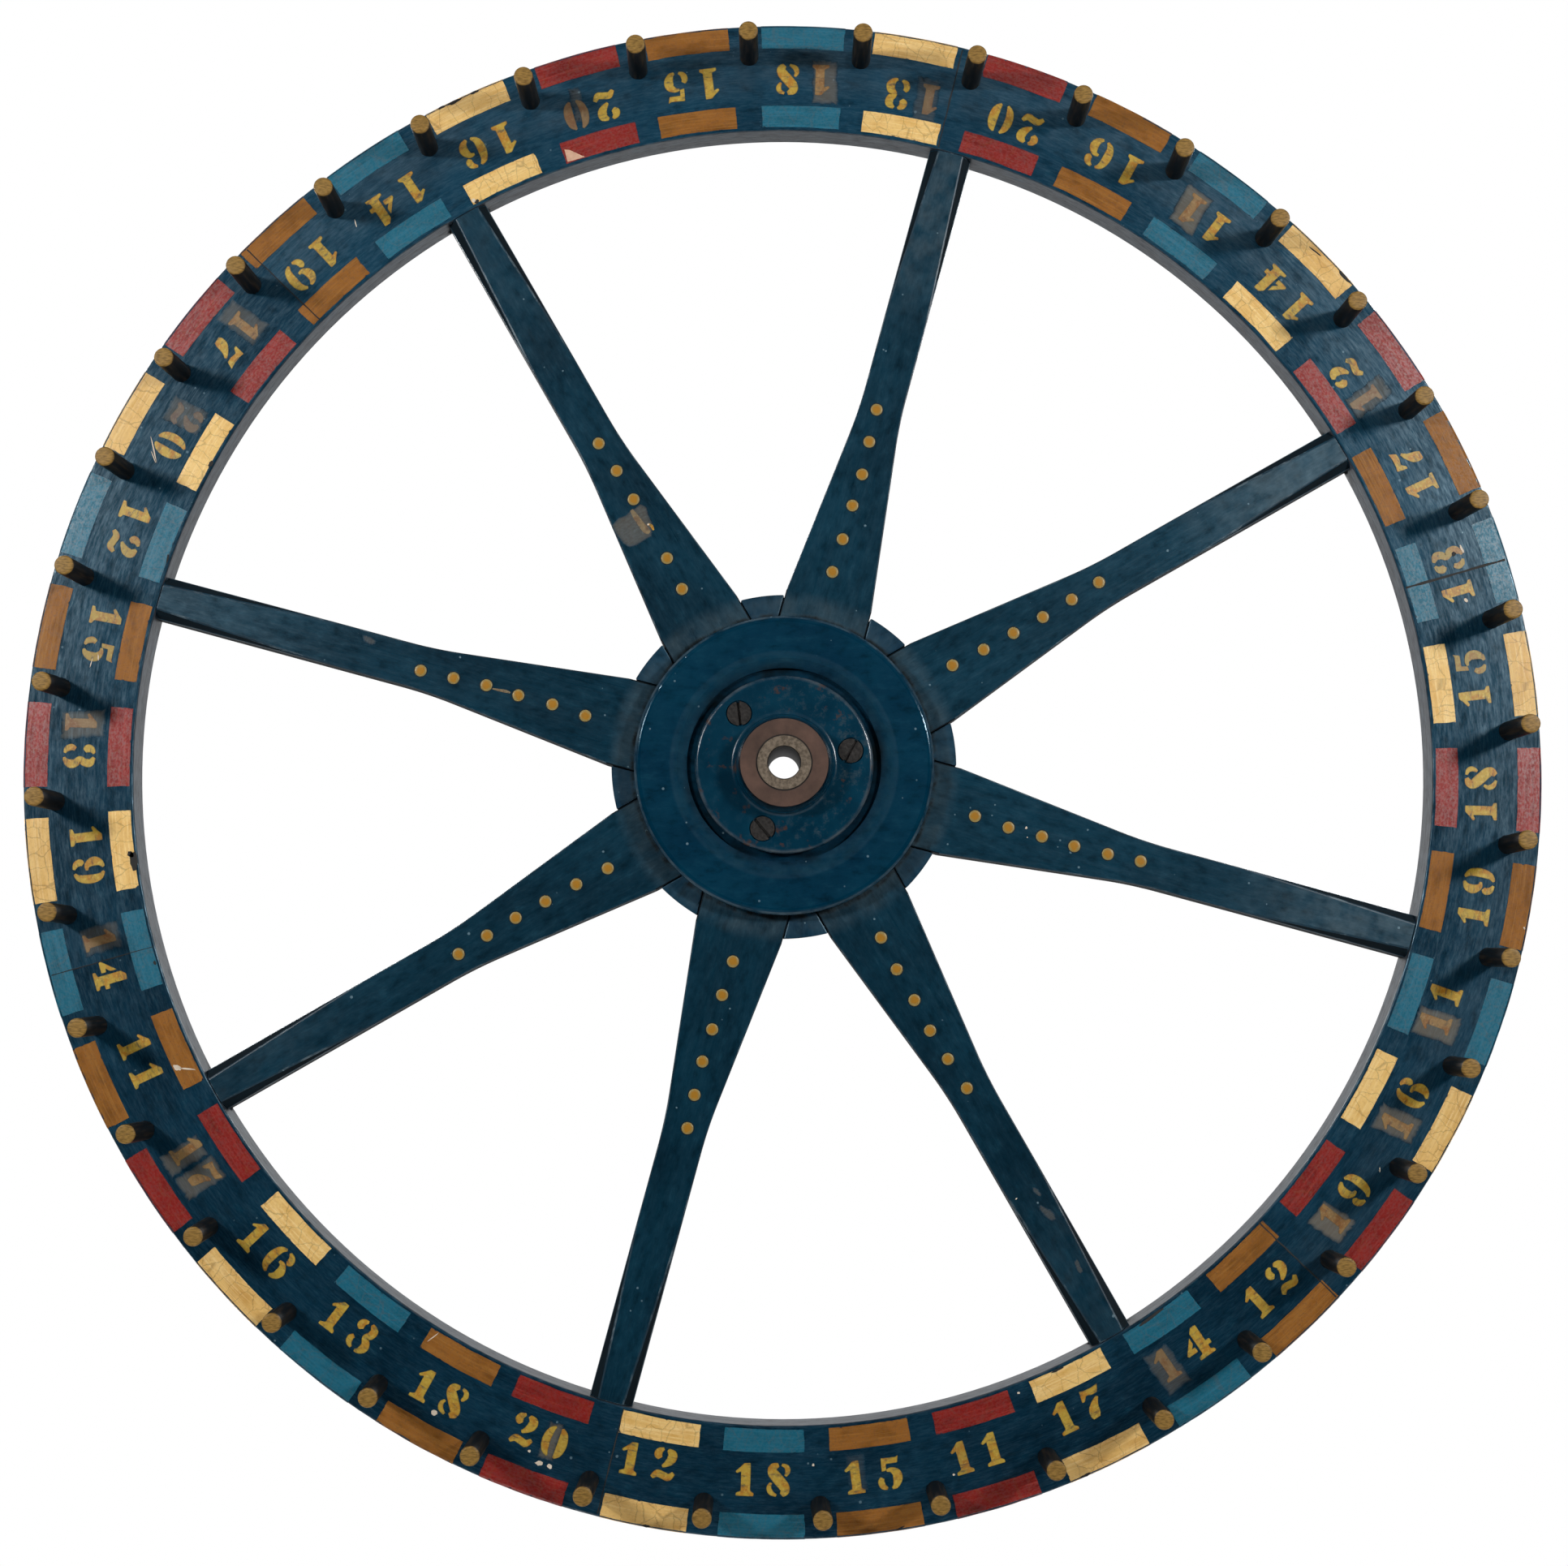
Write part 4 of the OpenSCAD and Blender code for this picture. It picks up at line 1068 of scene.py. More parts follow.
def strokes_of(digit):
    """The strokes of a figure 16 mm tall, with its lower left corner at the origin."""
    upper_left = [(4.6, 15.5, 1.4), (2.7, 14.2, 3.4), (2.2, 12.3, 4.2), (3.4, 10.7, 2.4)]
    lower_left = [(2.6, 6.0, 2.2), (1.7, 4.1, 3.2), (2.5, 1.9, 3.0), (4.6, 0.6, 1.3)]
    six = [
        [(5.6, 15.4, 1.3), (3.2, 13.0, 3.5), (2.3, 8.0, 4.5), (3.0, 3.2, 3.6), (5.5, 0.6, 1.3)],
        [(7.8, 15.5, 1.3), (10.2, 14.2, 3.2), (11.0, 12.1, 3.6), (10.0, 10.7, 2.2)],
        [(6.8, 9.0, 1.3), (9.3, 8.6, 3.0), (11.0, 5.6, 4.6), (10.2, 2.4, 3.6), (7.8, 0.6, 1.3)],
    ]
    if digit == 0:
        return [
            [(4.8, 15.4, 1.2), (2.9, 12.6, 3.5), (2.1, 8.0, 4.2), (2.9, 3.4, 3.5), (4.8, 0.6, 1.2)],
            [(8.2, 15.4, 1.2), (9.7, 12.6, 4.0), (10.3, 8.0, 4.9), (9.7, 3.4, 4.0), (8.2, 0.6, 1.2)],
        ]
    if digit == 1:
        return [[
            (0.5, 0.0), (9.3, 0.0), (9.3, 1.5), (7.6, 2.5), (7.6, 16.0), (4.5, 16.0), (2.7, 14.2),
            (0.0, 11.9), (0.8, 10.9), (2.9, 11.8), (2.9, 2.5), (0.5, 1.5),
        ]]
    if digit == 2:
        return [
            upper_left,
            [(6.6, 15.3, 1.7), (9.0, 13.4, 4.6), (8.9, 10.8, 4.6), (7.0, 8.4, 3.0), (5.0, 6.9, 1.4)],
            [(0.8, 1.0, 1.9), (3.2, 3.2, 3.6), (6.2, 2.7, 3.6), (9.0, 2.2, 3.6), (11.2, 4.6, 1.9)],
        ]
    if digit == 3:
        return [
            upper_left,
            [
                (6.6, 15.5, 1.7), (9.2, 13.7, 4.0), (9.2, 10.9, 4.0), (7.6, 8.5, 3.2), (9.7, 6.0, 4.2),
                (9.9, 3.4, 4.4), (8.4, 1.2, 2.6), (6.8, 0.5, 1.3),
            ],
            lower_left,
        ]
    if digit == 4:
        return [
            [
                (4.6, 0.0), (13.8, 0.0), (13.8, 1.5), (12.0, 2.3), (12.0, 4.5), (14.2, 4.5), (14.2, 7.0),
                (12.0, 7.0), (12.0, 16.2), (9.0, 16.2), (7.1, 14.0), (7.1, 2.3), (4.6, 1.5),
            ],
            [(0.0, 5.4), (5.9, 12.4), (5.9, 9.0), (4.0, 7.0), (5.9, 7.0), (5.9, 4.4), (0.4, 4.4)],
        ]
    if digit == 5:
        return [
            [(2.8, 15.6), (10.0, 15.4), (11.4, 16.2), (10.6, 12.7), (5.0, 12.6), (4.8, 9.4), (2.5, 9.0)],
            [
                (5.0, 9.3, 1.2), (7.3, 9.4, 2.6), (9.7, 7.6, 4.4), (10.0, 4.7, 4.6), (8.7, 1.7, 3.0),
                (6.8, 0.6, 1.3),
            ],
            lower_left,
        ]
    if digit == 6:
        return six
    if digit == 7:
        return [
            [
                (0.3, 10.3), (1.0, 16.0), (3.4, 15.4), (7.4, 15.4), (10.9, 16.1), (9.4, 12.3), (6.6, 12.0),
                (3.4, 12.7), (1.7, 10.3),
            ],
            [(8.4, 10.3, 1.3), (6.3, 8.4, 3.0), (4.4, 5.2, 5.2), (3.9, 2.6, 5.2), (4.0, 0.9, 3.8)],
        ]
    if digit == 8:
        return [
            [
                (5.8, 15.5, 2.0), (3.4, 14.2, 4.2), (3.0, 11.8, 5.0), (5.7, 8.5, 5.4), (8.6, 5.2, 5.2),
                (9.1, 2.8, 4.6), (7.6, 0.9, 2.4),
            ],
            [(7.4, 15.6, 1.3), (9.7, 14.6, 2.4), (10.4, 12.5, 2.6), (9.3, 10.1, 1.3)],
            [(2.3, 6.7, 1.3), (1.3, 4.5, 2.4), (2.2, 2.1, 2.6), (5.0, 0.6, 1.3)],
        ]
    # A nine is a six turned round
    return [[(NINE_W - x, FIGURE_H - y, w) for x, y, w in stroke] for stroke in six]


def smooth_path(points, steps=5):
    """A Catmull-Rom curve through the points, with any number of values to a point."""
    path = []
    ends = [points[0]] + points + [points[-1]]
    for a, b, c, d in zip(ends, ends[1:], ends[2:], ends[3:]):
        for k in range(steps):
            t = k / steps
            path.append([
                q + 0.5 * t * (r - p + t * (2 * p - 5 * q + 4 * r - s + t * (3 * (q - r) + s - p)))
                for p, q, r, s in zip(a, b, c, d)
            ])
    return path + [list(points[-1])]


def stroke_outline(points, share=1.0):
    """The outline of a stroke from the points along its middle, or of a narrower stroke within it."""
    path = smooth_path(points)
    left, right = [], []
    for k, (x, y, width) in enumerate(path):
        before = path[max(k - 1, 0)]
        after = path[min(k + 1, len(path) - 1)]
        along = Vector((after[0] - before[0], after[1] - before[1])).normalized()
        half = width / 2 - (1 - share) * min(FIGURE_BORDER, width * BORDER_SHARE)
        left.append((x - along.y * half, y + along.x * half))
        right.append((x + along.y * half, y - along.x * half))
    return left + right[::-1]


def inset(outline, depth):
    """An outline with all its sides moved in by a depth."""
    points = [Vector(p) for p in outline]
    following = points[1:] + points[:1]
    turn = math.copysign(1, sum(p.x * q.y - q.x * p.y for p, q in zip(points, following)))
    drawn_in = []
    for before, point, after in zip(points[-1:] + points[:-1], points, following):
        one, two = (point - before).normalized(), (after - point).normalized()
        sides = Vector((-one.y - two.y, one.x + two.x)) * turn
        drawn_in.append(point + sides * depth / (1 + one.dot(two)))
    return drawn_in


def eased_outline(outline, ease=0.45):
    """An outline with every corner cut by a short round."""
    eased = []
    for k, corner in enumerate(outline):
        corner = Vector(corner)
        before = Vector(outline[k - 1]) - corner
        after = Vector(outline[(k + 1) % len(outline)]) - corner
        first = corner + before.normalized() * min(ease, before.length * ROUND_SHARE)
        last = corner + after.normalized() * min(ease, after.length * ROUND_SHARE)
        eased += [first, corner * 0.5 + (first + last) * 0.25, last]
    return eased


def figure_outlines(digit):
    """The strokes of a figure, each as its outline and a second one drawn in from it."""
    pairs = []
    for stroke in strokes_of(digit):
        if len(stroke[0]) == 3:
            pairs.append((stroke_outline(stroke), stroke_outline(stroke, 0.0)))
        else:
            pairs.append((eased_outline(stroke), eased_outline(inset(stroke, FIGURE_BORDER * 0.8))))
    return pairs


def on_rim(middle_angle, middle_radius, x, y):
    """A point of a segment's own flat frame, whose y runs towards the axle, as x and z in mm."""
    cosine, sine = math.cos(math.radians(middle_angle)), math.sin(math.radians(middle_angle))
    out = middle_radius - y
    return (out * cosine - x * sine, out * sine + x * cosine)


def lay_slabs(name, slabs, film, material):
    """Lays closed slabs of paint on the face, from their rings, turns and the shares that have faded."""
    bm = bmesh.new()
    turn_layer = bm.verts.layers.float.new("turn")
    border_layer = bm.verts.layers.float.new("border")
    faded_layer = bm.verts.layers.float.new("faded")
    low_y = (FACE + FILM_SINK) * MM
    high_y = (FACE - film) * MM
    for rings, turn, faded in slabs:
        # Rings run from the border inwards, as (points, distance from the border)
        bottom = [bm.verts.new((x * MM, low_y, z * MM)) for x, z in rings[0][0]]
        levels = [bottom]
        for points, border in rings:
            ring = [bm.verts.new((x * MM, high_y, z * MM)) for x, z in points]
            for vert in ring:
                vert[border_layer] = border
            levels.append(ring)
        count = len(bottom)
        for under, above in zip(levels, levels[1:]):
            for k in range(count):
                bm.faces.new((under[k], under[(k + 1) % count], above[(k + 1) % count], above[k]))
        bm.faces.new(levels[-1])
        bm.faces.new(bottom[::-1])
        for ring in levels:
            for vert in ring:
                vert[turn_layer] = math.radians(turn)
                vert[faded_layer] = faded
    bmesh.ops.recalc_face_normals(bm, faces=bm.faces)
    bmesh.ops.triangulate(bm, faces=[f for f in bm.faces if len(f.verts) > 4])
    mesh = bpy.data.meshes.new(name)
    bm.to_mesh(mesh)
    bm.free()
    mesh.materials.append(material)
    hand_over(new_piece(name, mesh))


def digits_of(segment):
    """The two figures of a segment, as (digit, left end, angle, radius of the baseline)."""
    number, radius, shift = NUMBERS[segment]
    angle = segment_angle(segment)
    pair = (number // 10, number % 10)
    return [(digit, start + shift, angle, radius + FIGURE_H / 2) for digit, start in zip(pair, FIGURE_STARTS)]


def make_figures():
    draw = random.Random(11)
    dull = {(row[0], row[1]) for row in RETOUCHED}
    bright_slabs, dull_slabs = [], []
    for segment in range(SEGMENT_COUNT):
        for place, (digit, start, angle, base) in enumerate(digits_of(segment)):
            shift = draw.uniform(-FIGURE_SLIP, FIGURE_SLIP)
            rise = draw.uniform(-FIGURE_RISE, FIGURE_RISE)
            slabs = dull_slabs if (segment, place) in dull else bright_slabs
            for pair in figure_outlines(digit):
                rings = []
                for outline, border in zip(pair, (0.0, FIGURE_BORDER)):
                    points = [on_rim(angle, base, start + shift + x, rise + y) for x, y in outline]
                    rings.append((points, border))
                slabs.append((rings, angle, FADED.get((segment, place), 0.0)))
    lay_slabs("stencilled_figures", bright_slabs, FIGURE_FILM, FIGURE_PAINT)
    lay_slabs("retouched_figures", dull_slabs, FIGURE_FILM, DULL_FIGURE_PAINT)


def make_patches():
    """The grey patches round restored figures: ragged, and thin towards their borders."""
    draw = random.Random(5)
    slabs = []
    for segment, _, left, right, near, far, lean, cover in RETOUCHED:
        angle = segment_angle(segment)
        middle_r, middle_x = (near + far) / 2, (left + right) / 2
        half_w, half_h = (right - left) / 2, (far - near) / 2
        rings = []
        rough = [(draw.uniform(*PATCH_ROUGH), draw.uniform(*PATCH_ROUGH)) for _ in range(4 * PATCH_STEPS)]
        for depth, share in PATCH_LEVELS:
            points = []
            for k, (dx, dy) in enumerate(rough):
                side, step = divmod(k, PATCH_STEPS)
                across = 2 * step / PATCH_STEPS - 1
                x, y = ((across, -1), (1, across), (-across, 1), (-1, -across))[side]
                y_mm = y * (half_h - depth) + dy
                x_mm = x * (half_w - depth) + dx - lean * y / 2
                points.append(on_rim(angle, middle_r, middle_x + x_mm, y_mm))
            rings.append((points, cover * share))
        slabs.append((rings, angle, 0.0))
    lay_slabs("retouching_patches", slabs, PATCH_FILM, PATCH_PAINT)


def ragged_outline(draw, middle_angle, radius, along, length, width, turn):
    """A rough oval on the face, as a chip of paint leaves it."""
    cosine, sine = math.cos(math.radians(turn)), math.sin(math.radians(turn))
    outline = []
    for k in range(CHIP_POINTS):
        angle = 2 * math.pi * k / CHIP_POINTS
        size = draw.uniform(*CHIP_ROUGH)
        x, y = size * length / 2 * math.cos(angle), size * width / 2 * math.sin(angle)
        outline.append(on_rim(middle_angle, radius, along + x * cosine - y * sine, x * sine + y * cosine))
    return outline


def make_chips():
    draw = random.Random(3)
    for name, chips, material in (("pale", PALE_CHIPS, CHIP_FILLER), ("dark", DARK_CHIPS, BARE_WOOD)):
        slabs = []
        for segment, along, radius, length, width, turn in chips:
            angle = segment_angle(segment)
            outline = ragged_outline(draw, angle, radius, along, length, width, turn)
            slabs.append(([(outline, 0.0)], angle, 0.0))
        lay_slabs("%s_paint_chips" % name, slabs, CHIP_FILM, material)
    segment, corners = ROSY_CHIP
    angle = segment_angle(segment)
    slabs = [([([on_rim(angle, radius, along, 0) for along, radius in corners], 0.0)], angle, 0.0)]
    lay_slabs("rosy_paint_chip", slabs, CHIP_FILM, ROSY_GROUND)


def make_cracks():
    """Dark ragged lines across the rim, where the paint has cracked over the front felloes' joints."""
    draw = random.Random(8)
    slabs = []
    first, last = RIM_IN + CRACK_ENDS[0], RIM_OUT - CRACK_ENDS[1]
    for i in range(FRONT_FELLOE_COUNT):
        angle = WHEEL_TURN + FRONT_JOINT_TURN + i * FRONT_FELLOE_ANGLE
        steps = [first + k * (last - first) / CRACK_STEPS for k in range(CRACK_STEPS + 1)]
        middle = [draw.uniform(-CRACK_WANDER, CRACK_WANDER) for _ in steps]
        half = [CRACK_WIDTHS[i] / 2 * draw.uniform(*CRACK_ROUGH) for _ in steps]
        one = [on_rim(angle, r, m + h, 0) for r, m, h in zip(steps, middle, half)]
        other = [on_rim(angle, r, m - h, 0) for r, m, h in zip(steps, middle, half)]
        slabs.append(([(one + other[::-1], 0.0)], angle, 0.0))
    lay_slabs("joint_cracks", slabs, CRACK_FILM, BARE_WOOD)


def spoke_angle(spoke):
    return WHEEL_TURN + spoke * BAY


def drawn_rings(outline, levels):
    """An outline and smaller ones drawn in towards its middle, from (depth in mm, border value)."""
    middle = sum((Vector(p) for p in outline), Vector((0, 0))) / len(outline)
    rings = []
    for depth, border in levels:
        rings.append(([Vector(p) + (middle - Vector(p)).normalized() * depth for p in outline], border))
    return rings


def make_spoke_marks():
    """Retouching, smears, scuffs and specks on the spokes."""
    draw = random.Random(2)
    angle = spoke_angle(LOST_DOT[0])
    spot = [on_rim(angle, out, side, 0) for side, out in SPOT_CORNERS]
    patches = [(drawn_rings(spot, SPOT_LEVELS), angle, 0.0)]
    for spoke, side, out, length, width in SPOKE_SCUFFS:
        angle = spoke_angle(spoke)
        scuff = ragged_outline(draw, angle, out, side, width, length, draw.uniform(-SCUFF_LEAN, SCUFF_LEAN))
        levels = ((0.0, 0.0), (SCUFF_BORDER * width, SCUFF_COVER))
        patches.append((drawn_rings(scuff, levels), angle, 0.0))
    lay_slabs("spoke_retouching", patches, PATCH_FILM, PATCH_PAINT)
    for name, smears, material in (("dull", DULL_SMEARS, SMEAR_PAINT), ("gold", GOLD_SMEARS, FIGURE_PAINT)):
        slabs = []
        for spoke, points in smears:
            angle = spoke_angle(spoke)
            outline = [on_rim(angle, out, side, 0) for side, out in stroke_outline(points)]
            slabs.append(([(outline, FIGURE_BORDER)], angle, 0.0))
        lay_slabs("%s_spoke_smears" % name, slabs, FIGURE_FILM, material)
    slabs = []
    for spoke, side, out, length, width in SPOKE_SPECKS:
        angle = spoke_angle(spoke)
        slabs.append(([(ragged_outline(draw, angle, out, side, length, width, 0), 0.0)], angle, 0.0))
    lay_slabs("spoke_specks", slabs, CHIP_FILM, CHIP_FILLER)


# Pegs and dots: a turned form, repeated by a tree

def turned_mesh(name, profile, sides):
    """A closed turned form about Y from (radius, y) points, with its two ends on the axis."""
    bm = bmesh.new()
    border_layer = bm.verts.layers.float.new("border")
    widest = max(radius for radius, _ in profile)
    rings = []
    for radius, y in profile[1:-1]:
        turn = [2 * math.pi * k / sides for k in range(sides)]
        ring = [bm.verts.new((radius * MM * math.cos(a), y * MM, radius * MM * math.sin(a))) for a in turn]
        for vert in ring:
            vert[border_layer] = radius / widest
        rings.append(ring)
    for near, far in zip(rings, rings[1:]):
        for k in range(sides):
            bm.faces.new((near[k], near[(k + 1) % sides], far[(k + 1) % sides], far[k]))
    for ring, (_, y) in ((rings[0], profile[0]), (rings[-1], profile[-1])):
        tip = bm.verts.new((0, y * MM, 0))
        for k in range(sides):
            bm.faces.new((ring[k], ring[(k + 1) % sides], tip))
    bmesh.ops.recalc_face_normals(bm, faces=bm.faces)
    mesh = bpy.data.meshes.new(name)
    bm.to_mesh(mesh)
    bm.free()
    smooth_shaded(mesh, 40)
    return mesh


def peg_tree():
    """The pegs of one bay: a row of dowels on the peg circle, each leaning its own way above the face."""
    tree, given, out = new_tree(
        "pegs_of_a_bay", "Geometry",
        {
            "Peg": "Object", "Count": "Int", "First angle": "Float", "Step": "Float",
            "Circle radius": "Float", "Face": "Float", "Tip": "Float", "Lean": "Float", "Seed": "Int",
            "Material": "Material",
        },
        {"Geometry": "Geometry"},
    )
    line = add(tree, "GeometryNodeMeshLine", {"Count": given["Count"]})
    index = add(tree, "GeometryNodeInputIndex")
    angle = add(tree, "Math", {0: index, 1: given["Step"], 2: given["First angle"]}, operation="MULTIPLY_ADD")
    place = around_axle(tree, given["Circle radius"], angle)
    ring = add(tree, "GeometryNodeSetPosition", {"Geometry": line, "Position": place})
    lean_x = add(
        tree, "FunctionNodeRandomValue",
        {"Min": -1.0, "Max": 1.0, "ID": index, "Seed": given["Seed"]}, data_type="FLOAT",
    )
    other_seed = add(tree, "Math", {0: given["Seed"], 1: 100.0}, operation="ADD")
    lean_z = add(
        tree, "FunctionNodeRandomValue",
        {"Min": -1.0, "Max": 1.0, "ID": index, "Seed": other_seed}, data_type="FLOAT",
    )
    lean = add(tree, "CombineXYZ", {"X": lean_x, "Z": lean_z})
    marked = add(
        tree, "GeometryNodeStoreNamedAttribute",
        {"Geometry": ring, "Name": "lean", "Value": lean}, data_type="FLOAT_VECTOR",
    )
    form = add(tree, "GeometryNodeObjectInfo", {"Object": given["Peg"]}).outputs["Geometry"]
    spin = add(tree, "CombineXYZ", {"Y": angle})
    copies = add(tree, "GeometryNodeInstanceOnPoints", {"Points": marked, "Instance": form, "Rotation": spin})
    real = add(tree, "GeometryNodeRealizeInstances", {"Geometry": copies})
    tilt = add(
        tree, "GeometryNodeInputNamedAttribute", {"Name": "lean"}, data_type="FLOAT_VECTOR"
    ).outputs["Attribute"]
    out_y = add(tree, "SeparateXYZ", {0: add(tree, "GeometryNodeInputPosition")}).outputs["Y"]
    reach = add(
        tree, "MapRange",
        {"Value": out_y, "From Min": given["Face"], "From Max": given["Tip"], "To Max": given["Lean"]},
    )
    offset = add(tree, "VectorMath", {0: tilt, "Scale": reach}, operation="SCALE")
    leaned = add(tree, "GeometryNodeSetPosition", {"Geometry": real, "Offset": offset})
    tinted = add(tree, "GeometryNodeSetMaterial", {"Geometry": leaned, "Material": given["Material"]})
    wire(tree, out, {"Geometry": tinted})
    return tree


def make_pegs():
    soft = PEG_TIP_ROUND
    profile = [(0, BACK), (PEG_R - PEG_BACK_CUT, BACK), (PEG_R, BACK - PEG_BACK_CUT)]
    profile += [(PEG_R, FACE - PEG_RING_STEP * k) for k in range(PEG_RINGS)]
    for k in range(PEG_TIP_STEPS + 1):
        a = math.radians(90 * k / PEG_TIP_STEPS)
        profile.append((PEG_R - soft + soft * math.cos(a), PEG_TIP + soft - soft * math.sin(a)))
    profile += [(PEG_R * PEG_CROWN_SHARE, PEG_TIP + PEG_CROWN), (0, PEG_TIP)]
    form = new_piece("peg_form", turned_mesh("peg_form", profile, PEG_SIDES))
    tree = peg_tree()
    for i in range(SPOKE_COUNT):
        piece = grown("pegs_%d_painted" % (i + 1), tree, {
            "Peg": form,
            "Count": PEGS_PER_BAY,
            "First angle": math.radians(spoke_angle(i)),
            "Step": math.radians(PEG_PITCH),
            "Circle radius": PEG_CIRCLE * MM,
            "Face": FACE * MM,
            "Tip": PEG_TIP * MM,
            "Lean": PEG_LEAN * MM,
            "Seed": PEG_SEED + i,
            "Material": PEG_WOOD,
        })
        hand_over(piece, ["pegs_%d" % (i + 1)])
    bpy.data.objects.remove(form)


def dot_tree():
    """Domed dots at their marks, each a little off its place."""
    tree, given, out = new_tree(
        "spoke_dots", "Geometry",
        {"Dot": "Object", "Marks": "Object", "Drift": "Float", "Seed": "Int", "Material": "Material"},
        {"Geometry": "Geometry"},
    )
    marks = add(tree, "GeometryNodeObjectInfo", {"Object": given["Marks"]}).outputs["Geometry"]
    index = add(tree, "GeometryNodeInputIndex")
    drift = add(
        tree, "FunctionNodeRandomValue",
        {"Min": (-1, 0, -1), "Max": (1, 0, 1), "ID": index, "Seed": given["Seed"]}, data_type="FLOAT_VECTOR",
    )
    off = add(tree, "VectorMath", {0: drift, "Scale": given["Drift"]}, operation="SCALE")
    places = add(tree, "GeometryNodeSetPosition", {"Geometry": marks, "Offset": off})
    form = add(tree, "GeometryNodeObjectInfo", {"Object": given["Dot"]}).outputs["Geometry"]
    copies = add(tree, "GeometryNodeInstanceOnPoints", {"Points": places, "Instance": form})
    real = add(tree, "GeometryNodeRealizeInstances", {"Geometry": copies})
    tinted = add(tree, "GeometryNodeSetMaterial", {"Geometry": real, "Material": given["Material"]})
    wire(tree, out, {"Geometry": tinted})
    return tree


def dot_marks():
    """Points on the spokes' faces where the stencil left its dots."""
    places = []
    for spoke, (further, aside) in enumerate(DOT_SHIFTS):
        for k, (out, side) in enumerate(DOT_STENCIL):
            if (spoke, k) != LOST_DOT:
                x, z = on_rim(spoke_angle(spoke), out + further, side + aside, 0)
                places.append((x * MM, FACE * MM, z * MM))
    mesh = bpy.data.meshes.new("dot_marks")
    mesh.from_pydata(places, [], [])
    return new_piece("dot_marks", mesh)


def make_dots():
    radius = DOT_D / 2
    # From the sunk underside over the thin dark ring of painted shadow to the dome
    profile = [(0, FILM_SINK), (radius + DOT_SHADOW_RING, FILM_SINK), (radius + DOT_SHADOW_RING, -DOT_SHADOW_RING_H)]
    profile += [(radius * share, -height) for share, height in DOT_DOME]
    form = new_piece("dot_form", turned_mesh("dot_form", profile, DOT_SIDES))
    marks = dot_marks()
    piece = grown("spoke_dots", dot_tree(), {
        "Dot": form,
        "Marks": marks,
        "Drift": DOT_DRIFT * MM,
        "Seed": DOT_SEED,
        "Material": DOT_PAINT,
    })
    hand_over(piece)
    bpy.data.objects.remove(form)
    bpy.data.objects.remove(marks)


# Metal and the rest of the frame's own nodes

def dress_nodes():
    finishes = {
        "axle_sleeve": SLEEVE_STEEL, "front_flange": FLANGE_IRON, "rear_flange": FLANGE_IRON,
        "front_cover_disc": COVER_PAINT, "rear_cover_disc": COVER_PAINT,
        "front_flange_screws": SCREW_STEEL, "rear_flange_screws": SCREW_STEEL, "hub_screws": SCREW_STEEL,
        "spoke_end_screws": SCREW_STEEL, "felloe_screws": SCREW_STEEL,
    }
    for node, material in finishes.items():
        frame["nodes"][node].material_slots[0].material = material


# Stage: camera, lamps, floor and the white studio around

def make_camera():
    data = bpy.data.cameras.new("camera")
    data.lens = CAMERA_LENS
    data.sensor_width = SENSOR_W
    data.sensor_fit = "HORIZONTAL"
    camera = bpy.data.objects.new("camera", data)
    bpy.context.scene.collection.objects.link(camera)
    camera.location = Vector(CAMERA_PLACE) * MM
    camera.rotation_euler = (math.radians(90 + CAMERA_TILT), 0, math.radians(CAMERA_PAN))
    bpy.context.scene.camera = camera


def make_lamp(name, place, size, power, light, sheen):
    """A square softbox that faces the wheel's middle, for light and shadow, for the paint's sheen or both."""
    data = bpy.data.lights.new(name, "AREA")
    data.shape = "SQUARE"
    data.size = size * MM
    data.energy = power
    lamp = bpy.data.objects.new(name, data)
    bpy.context.scene.collection.objects.link(lamp)
    lamp.location = Vector(place) * MM
    lamp.rotation_euler = (-lamp.location).to_track_quat("-Z", "Y").to_euler()
    lamp.visible_diffuse = light
    lamp.visible_glossy = sheen


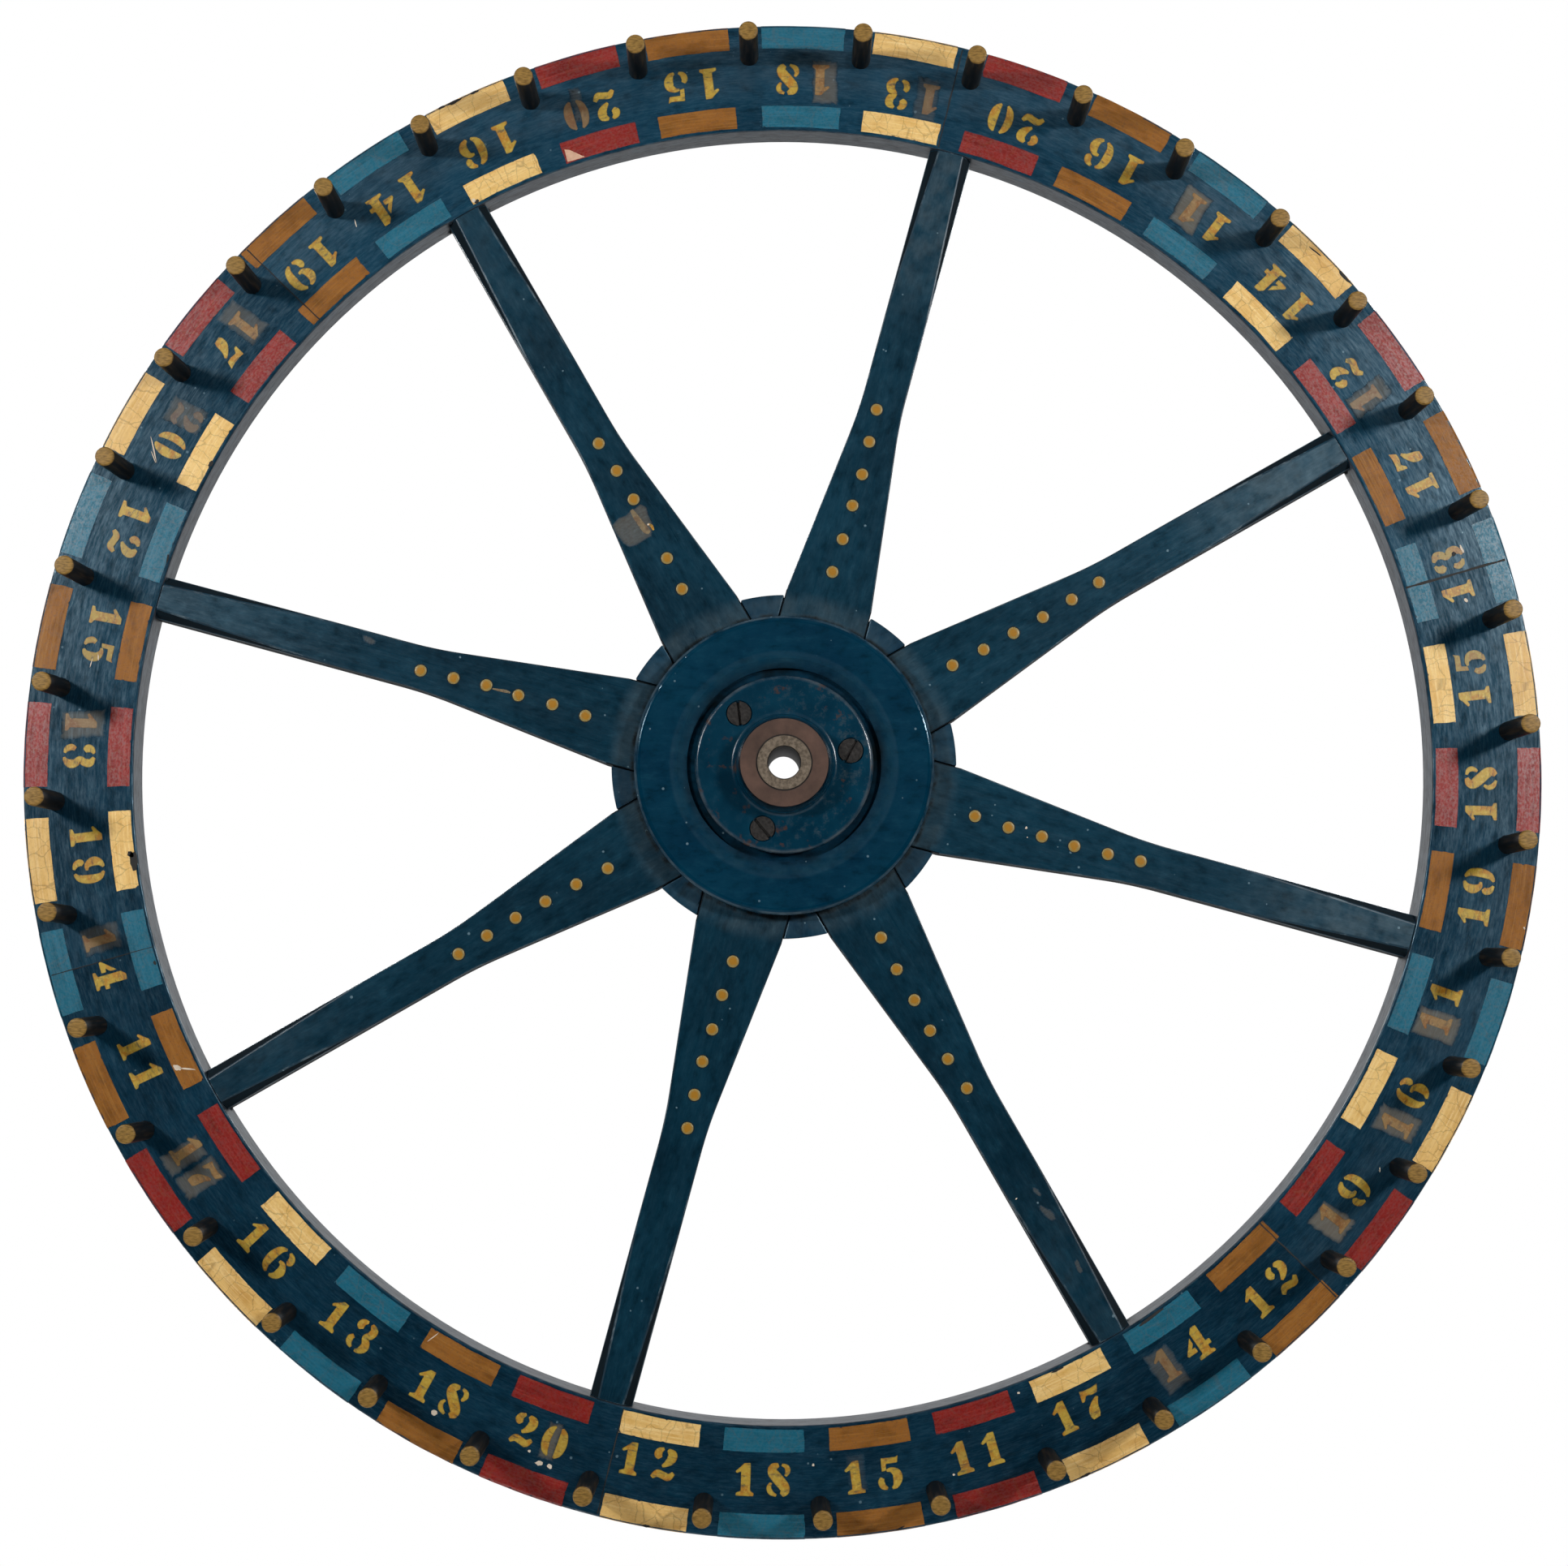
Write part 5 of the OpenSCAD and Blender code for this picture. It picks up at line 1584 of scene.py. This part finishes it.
def make_floor():
    """A pale round floor that takes the shadow, nearly white to the eye and quite white towards its edge."""
    bm = bmesh.new()
    bmesh.ops.create_circle(bm, cap_ends=True, segments=FLOOR_SIDES, radius=FLOOR_R * MM)
    mesh = bpy.data.meshes.new("floor")
    bm.to_mesh(mesh)
    bm.free()
    material, tree, shader = new_material("pale_studio_floor")
    place = add(tree, "TexCoord").outputs["Object"]
    mottle = add(tree, "TexNoise", {"Vector": place, "Scale": 3.0, "Detail": 3.0})
    tint = add(tree, "Mix", {"Factor": mottle, "A": "#f4f4f2", "B": "#ededeb"}, data_type="RGBA")
    wire(tree, shader, {"Base Color": tint, "Roughness": 0.7})
    ray = add(tree, "LightPath").outputs
    clear = add(tree, "Math", {0: ray["Is Glossy Ray"], 1: ray["Is Transmission Ray"]}, operation="MAXIMUM")
    seen = add(tree, "Math", {0: ray["Is Camera Ray"], 1: clear}, operation="MAXIMUM")
    distance = add(tree, "VectorMath", {0: place}, operation="LENGTH")
    near, far = [share * FLOOR_R * MM for share in FLOOR_FADE]
    fade = add(
        tree, "MapRange", {"Value": distance, "From Min": near, "From Max": far, "To Min": FLOOR_WHITE}
    )
    share = add(tree, "Math", {0: seen, 1: fade}, operation="MULTIPLY")
    white = add(tree, "Emission", {"Color": (1, 1, 1, 1), "Strength": 1.0})
    surface = add(tree, "MixShader", {0: share, 1: shader, 2: white})
    wire(tree, tree.nodes["Material Output"], {"Surface": surface})
    mesh.materials.append(material)
    floor = new_piece("floor", mesh)
    floor.location.z = FLOOR_Z * MM


def make_world():
    """White behind the wheel for the eye, for gloss and through gaps, and soft grey fill for the paint."""
    world = bpy.data.worlds.new("white_studio")
    bpy.context.scene.world = world
    world.use_nodes = True
    tree = world.node_tree
    ray = add(tree, "LightPath").outputs
    way = add(tree, "TexCoord").outputs["Generated"]
    part = add(tree, "SeparateXYZ", {0: way}).outputs
    behind = add(tree, "MapRange", {"Value": part["Y"], "From Min": 0.0, "From Max": 0.4})
    mirrored = add(tree, "Math", {0: ray["Is Glossy Ray"], 1: behind}, operation="MULTIPLY")
    gloss = add(tree, "Math", {0: mirrored, 1: BACKDROP_GLOSS}, operation="MULTIPLY")
    seen = add(tree, "Math", {0: ray["Is Camera Ray"], 1: ray["Is Transmission Ray"]}, operation="MAXIMUM")
    white = add(tree, "Math", {0: seen, 1: gloss}, operation="MAXIMUM")
    wall, top = CEILING_GLOSS
    ceiling = add(
        tree, "MapRange",
        {"Value": part["Z"], "From Min": 0.05, "From Max": 0.4, "To Min": wall, "To Max": top},
    )
    fill = add(tree, "Mix", {"Factor": ray["Is Glossy Ray"], "A": FILL_LIGHT, "B": ceiling})
    tint = add(tree, "Mix", {"Factor": white, "A": fill, "B": (1, 1, 1, 1)}, data_type="RGBA")
    wire(tree, tree.nodes["Background"], {"Color": tint, "Strength": 1.0})


make_camera()
make_wood()
make_blocks()
make_patches()
make_figures()
make_chips()
make_cracks()
make_spoke_marks()
make_pegs()
make_dots()
dress_nodes()
for lamp in LAMPS:
    make_lamp(*lamp)
make_floor()
make_world()
bpy.context.scene.view_settings.view_transform = "Standard"
